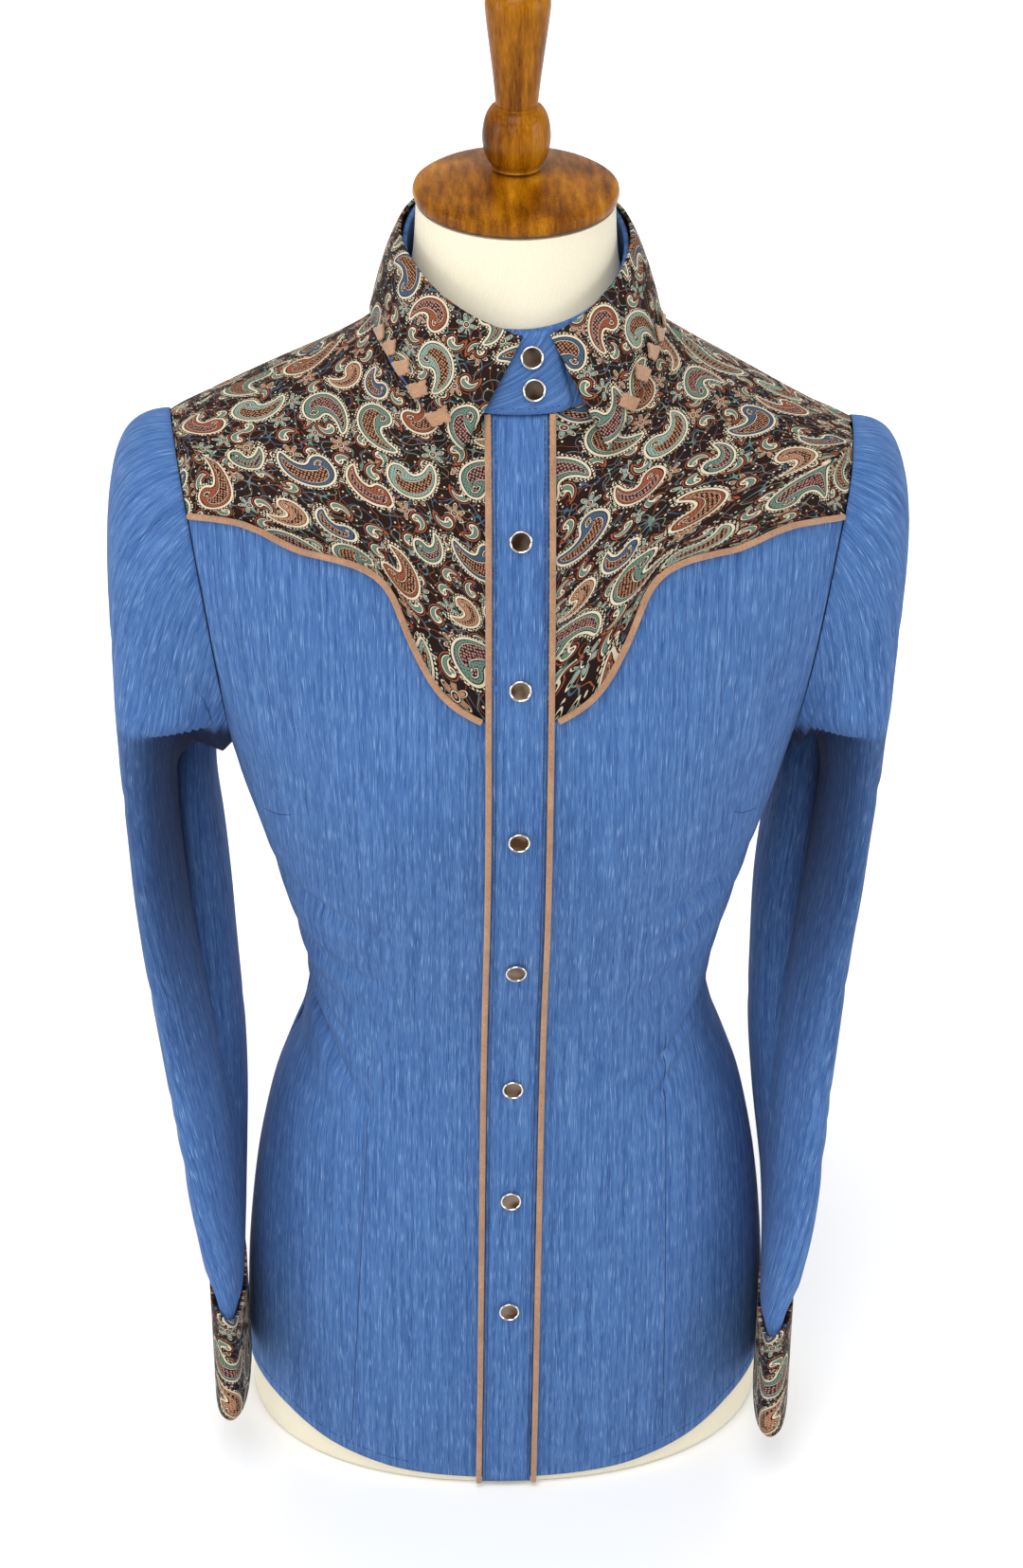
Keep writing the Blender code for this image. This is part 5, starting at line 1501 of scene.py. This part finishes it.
def nickel():
    """Polished nickel: a cap painted dark brown as a painted reflection, inside a bright rolled rim, with
    faint handling marks.
    """
    f = Finish("polished_nickel")
    radius = f.node("SeparateXYZ", (f.flat_place("turned"),)).outputs[0]
    mark = f.noise(f.object_place(), 0.5, 3.0, flat=False)
    patch = f.noise(f.object_place(), 0.11, 1.0, flat=False)
    # painted reflection: the cap's dark brown stands in for what the polished dome reflects
    cap = f.bands(patch, shades((0.38, (72, 50, 34)), (0.62, (128, 112, 98))), sharp=False)
    edge = f.math("MULTIPLY", f.math("SUBTRACT", radius, 4.85), 5.0, clamp=True)
    colour = f.mix(edge, cap, tone((222, 218, 210)))
    return f.surface(colour, f.math("MULTIPLY_ADD", mark, 0.10, 0.04), 1.0)


def jersey():
    """Cream jersey with fine upright ribs."""
    f = Finish("cream_jersey")
    place = f.flat_place()
    across = f.node("SeparateXYZ", (place,)).outputs[0]
    rib = f.math("MULTIPLY_ADD", f.math("SINE", f.math("MULTIPLY", across, 5.2)), 0.5, 0.5)
    soft = f.noise(f.stretched(place, 0.9, 0.10), 1.0, 3.0)
    colour = f.mix(f.math("MULTIPLY", rib, 0.25), tone((232, 224, 200)), tone((208, 198, 172)))
    colour = f.mix(f.math("MULTIPLY", soft, 0.35), colour, tone((214, 205, 180)))
    f.relief(f.math("ADD", rib, soft), 0.35, 0.0004)
    return f.surface(colour, 0.88, Sheen_Weight=0.2, Sheen_Roughness=0.5)


def stained_wood():
    """Stained and waxed wood: long streaks down the turning."""
    f = Finish("stained_wood")
    place = f.object_place()
    streak = f.noise(f.stretched(place, 0.16, 0.03, 0.02), 1.0, 5.0, 0.6, flat=False)
    pore = f.noise(f.stretched(place, 1.2, 1.2, 0.06), 1.0, 3.0, 0.6, flat=False)
    patch = f.noise(place, 0.03, 2.0, flat=False)
    tint = f.weighed((streak, 0.55), (pore, 0.25), (patch, 0.25))
    colour = f.bands(tint, shades((0.34, (60, 28, 1)), (0.46, (104, 56, 1)), (0.58, (150, 92, 6)),
                                  (0.72, (188, 130, 30))), sharp=False)
    f.relief(pore, 0.08, 0.0004)
    return f.surface(colour, f.math("MULTIPLY_ADD", pore, 0.15, 0.25), Coat_Weight=0.06, Coat_Roughness=0.1,
                     Specular_IOR_Level=0.1)


# ------------------------------------------------------------------ floor, light and camera
LIGHTS = (
    # name, place, size, watts, aim
    ("overhead", (-0.3, -1.1, 2.5), 1.6, 37.0, (0, 0, 0.3)),
    ("key", (-0.9, -2.6, 1.5), 1.0, 12.0, (0, 0, 0.45)),
    ("left_side", (-2.6, -0.8, 0.9), 1.2, 20.0, (0, 0, 0.4)),
    ("right_side", (2.6, -0.9, 0.9), 1.2, 22.0, (0, 0, 0.4)),
    ("backdrop", (0.2, 2.6, 1.5), 3.2, 70.0, (0.2, 2.5, 0)),
)
WORLD_STRENGTH = 0.54
FLOOR_SIZE, FLOOR_DROP = 12, 0.0005     # metres
LENS_LONG, SENSOR_TALL = 82.66, 36.0
CAMERA_PLACE = ((0.999220, 0.013222, -0.037221, -0.0750), (-0.038499, 0.536768, -0.842851, -1.7184),
                (0.008835, 0.843626, 0.536858, 1.5250), (0.0, 0.0, 0.0, 1.0))


def set_stage():
    """A pale floor, soft studio light and the camera."""
    work = bmesh.new()
    bmesh.ops.create_grid(work, x_segments=1, y_segments=1, size=FLOOR_SIZE)
    bmesh.ops.translate(work, verts=work.verts, vec=(0, 0, -FLOOR_DROP))
    mesh = bpy.data.meshes.new("studio_floor")
    work.to_mesh(mesh)
    work.free()
    floor = bpy.data.objects.new("studio_floor", mesh)
    bpy.context.scene.collection.objects.link(floor)
    mesh.materials.append(Finish("studio_paper").surface((0.92, 0.92, 0.92), 0.9))
    world = bpy.data.worlds.new("studio")
    world.use_nodes = True
    backing = world.node_tree.nodes["Background"].inputs
    backing["Color"].default_value = (1.0, 1.0, 1.0, 1.0)
    backing["Strength"].default_value = WORLD_STRENGTH
    bpy.context.scene.world = world
    for name, place, size, power, aim in LIGHTS:
        lamp = bpy.data.lights.new(name, "AREA")
        lamp.shape = "SQUARE"
        lamp.size = size
        lamp.energy = power
        light = bpy.data.objects.new(name, lamp)
        bpy.context.scene.collection.objects.link(light)
        light.location = place
        light.visible_glossy = name != "backdrop"
        light.rotation_mode = "QUATERNION"
        light.rotation_quaternion = (Vector(aim) - Vector(place)).to_track_quat("-Z", "Y")
    lens = bpy.data.cameras.new("camera")
    lens.sensor_fit = "VERTICAL"
    lens.sensor_height = SENSOR_TALL
    lens.lens = LENS_LONG
    camera = bpy.data.objects.new("camera", lens)
    bpy.context.scene.collection.objects.link(camera)
    camera.matrix_world = Matrix(CAMERA_PLACE)
    bpy.context.scene.camera = camera
    bpy.context.scene.view_settings.view_transform = "Standard"


def main():
    """Make every piece, the studio and the camera."""
    looks = {
        "chambray": chambray_cloth("chambray"),
        # the sleeves' chambray leans near the head and carries painted shade under it
        "sleeve_right": chambray_cloth("sleeve_chambray_right", -0.0011),
        "sleeve_left": chambray_cloth("sleeve_chambray_left", 0.0011),
        "paisley": paisley_cotton(),
        "suede": suede(),
        "nickel": nickel(),
        "jersey": jersey(),
        "walnut": stained_wood(),
        "thread": thread(),
    }
    make_form(looks)
    make_body(looks)
    make_placket(looks)
    make_stitching(looks)
    make_front_snaps(looks)
    make_collar(looks)
    make_sleeve(-1, "right", SLEEVE_RIGHT, looks)
    make_sleeve(1, "left", SLEEVE_LEFT, looks)
    set_stage()


main()
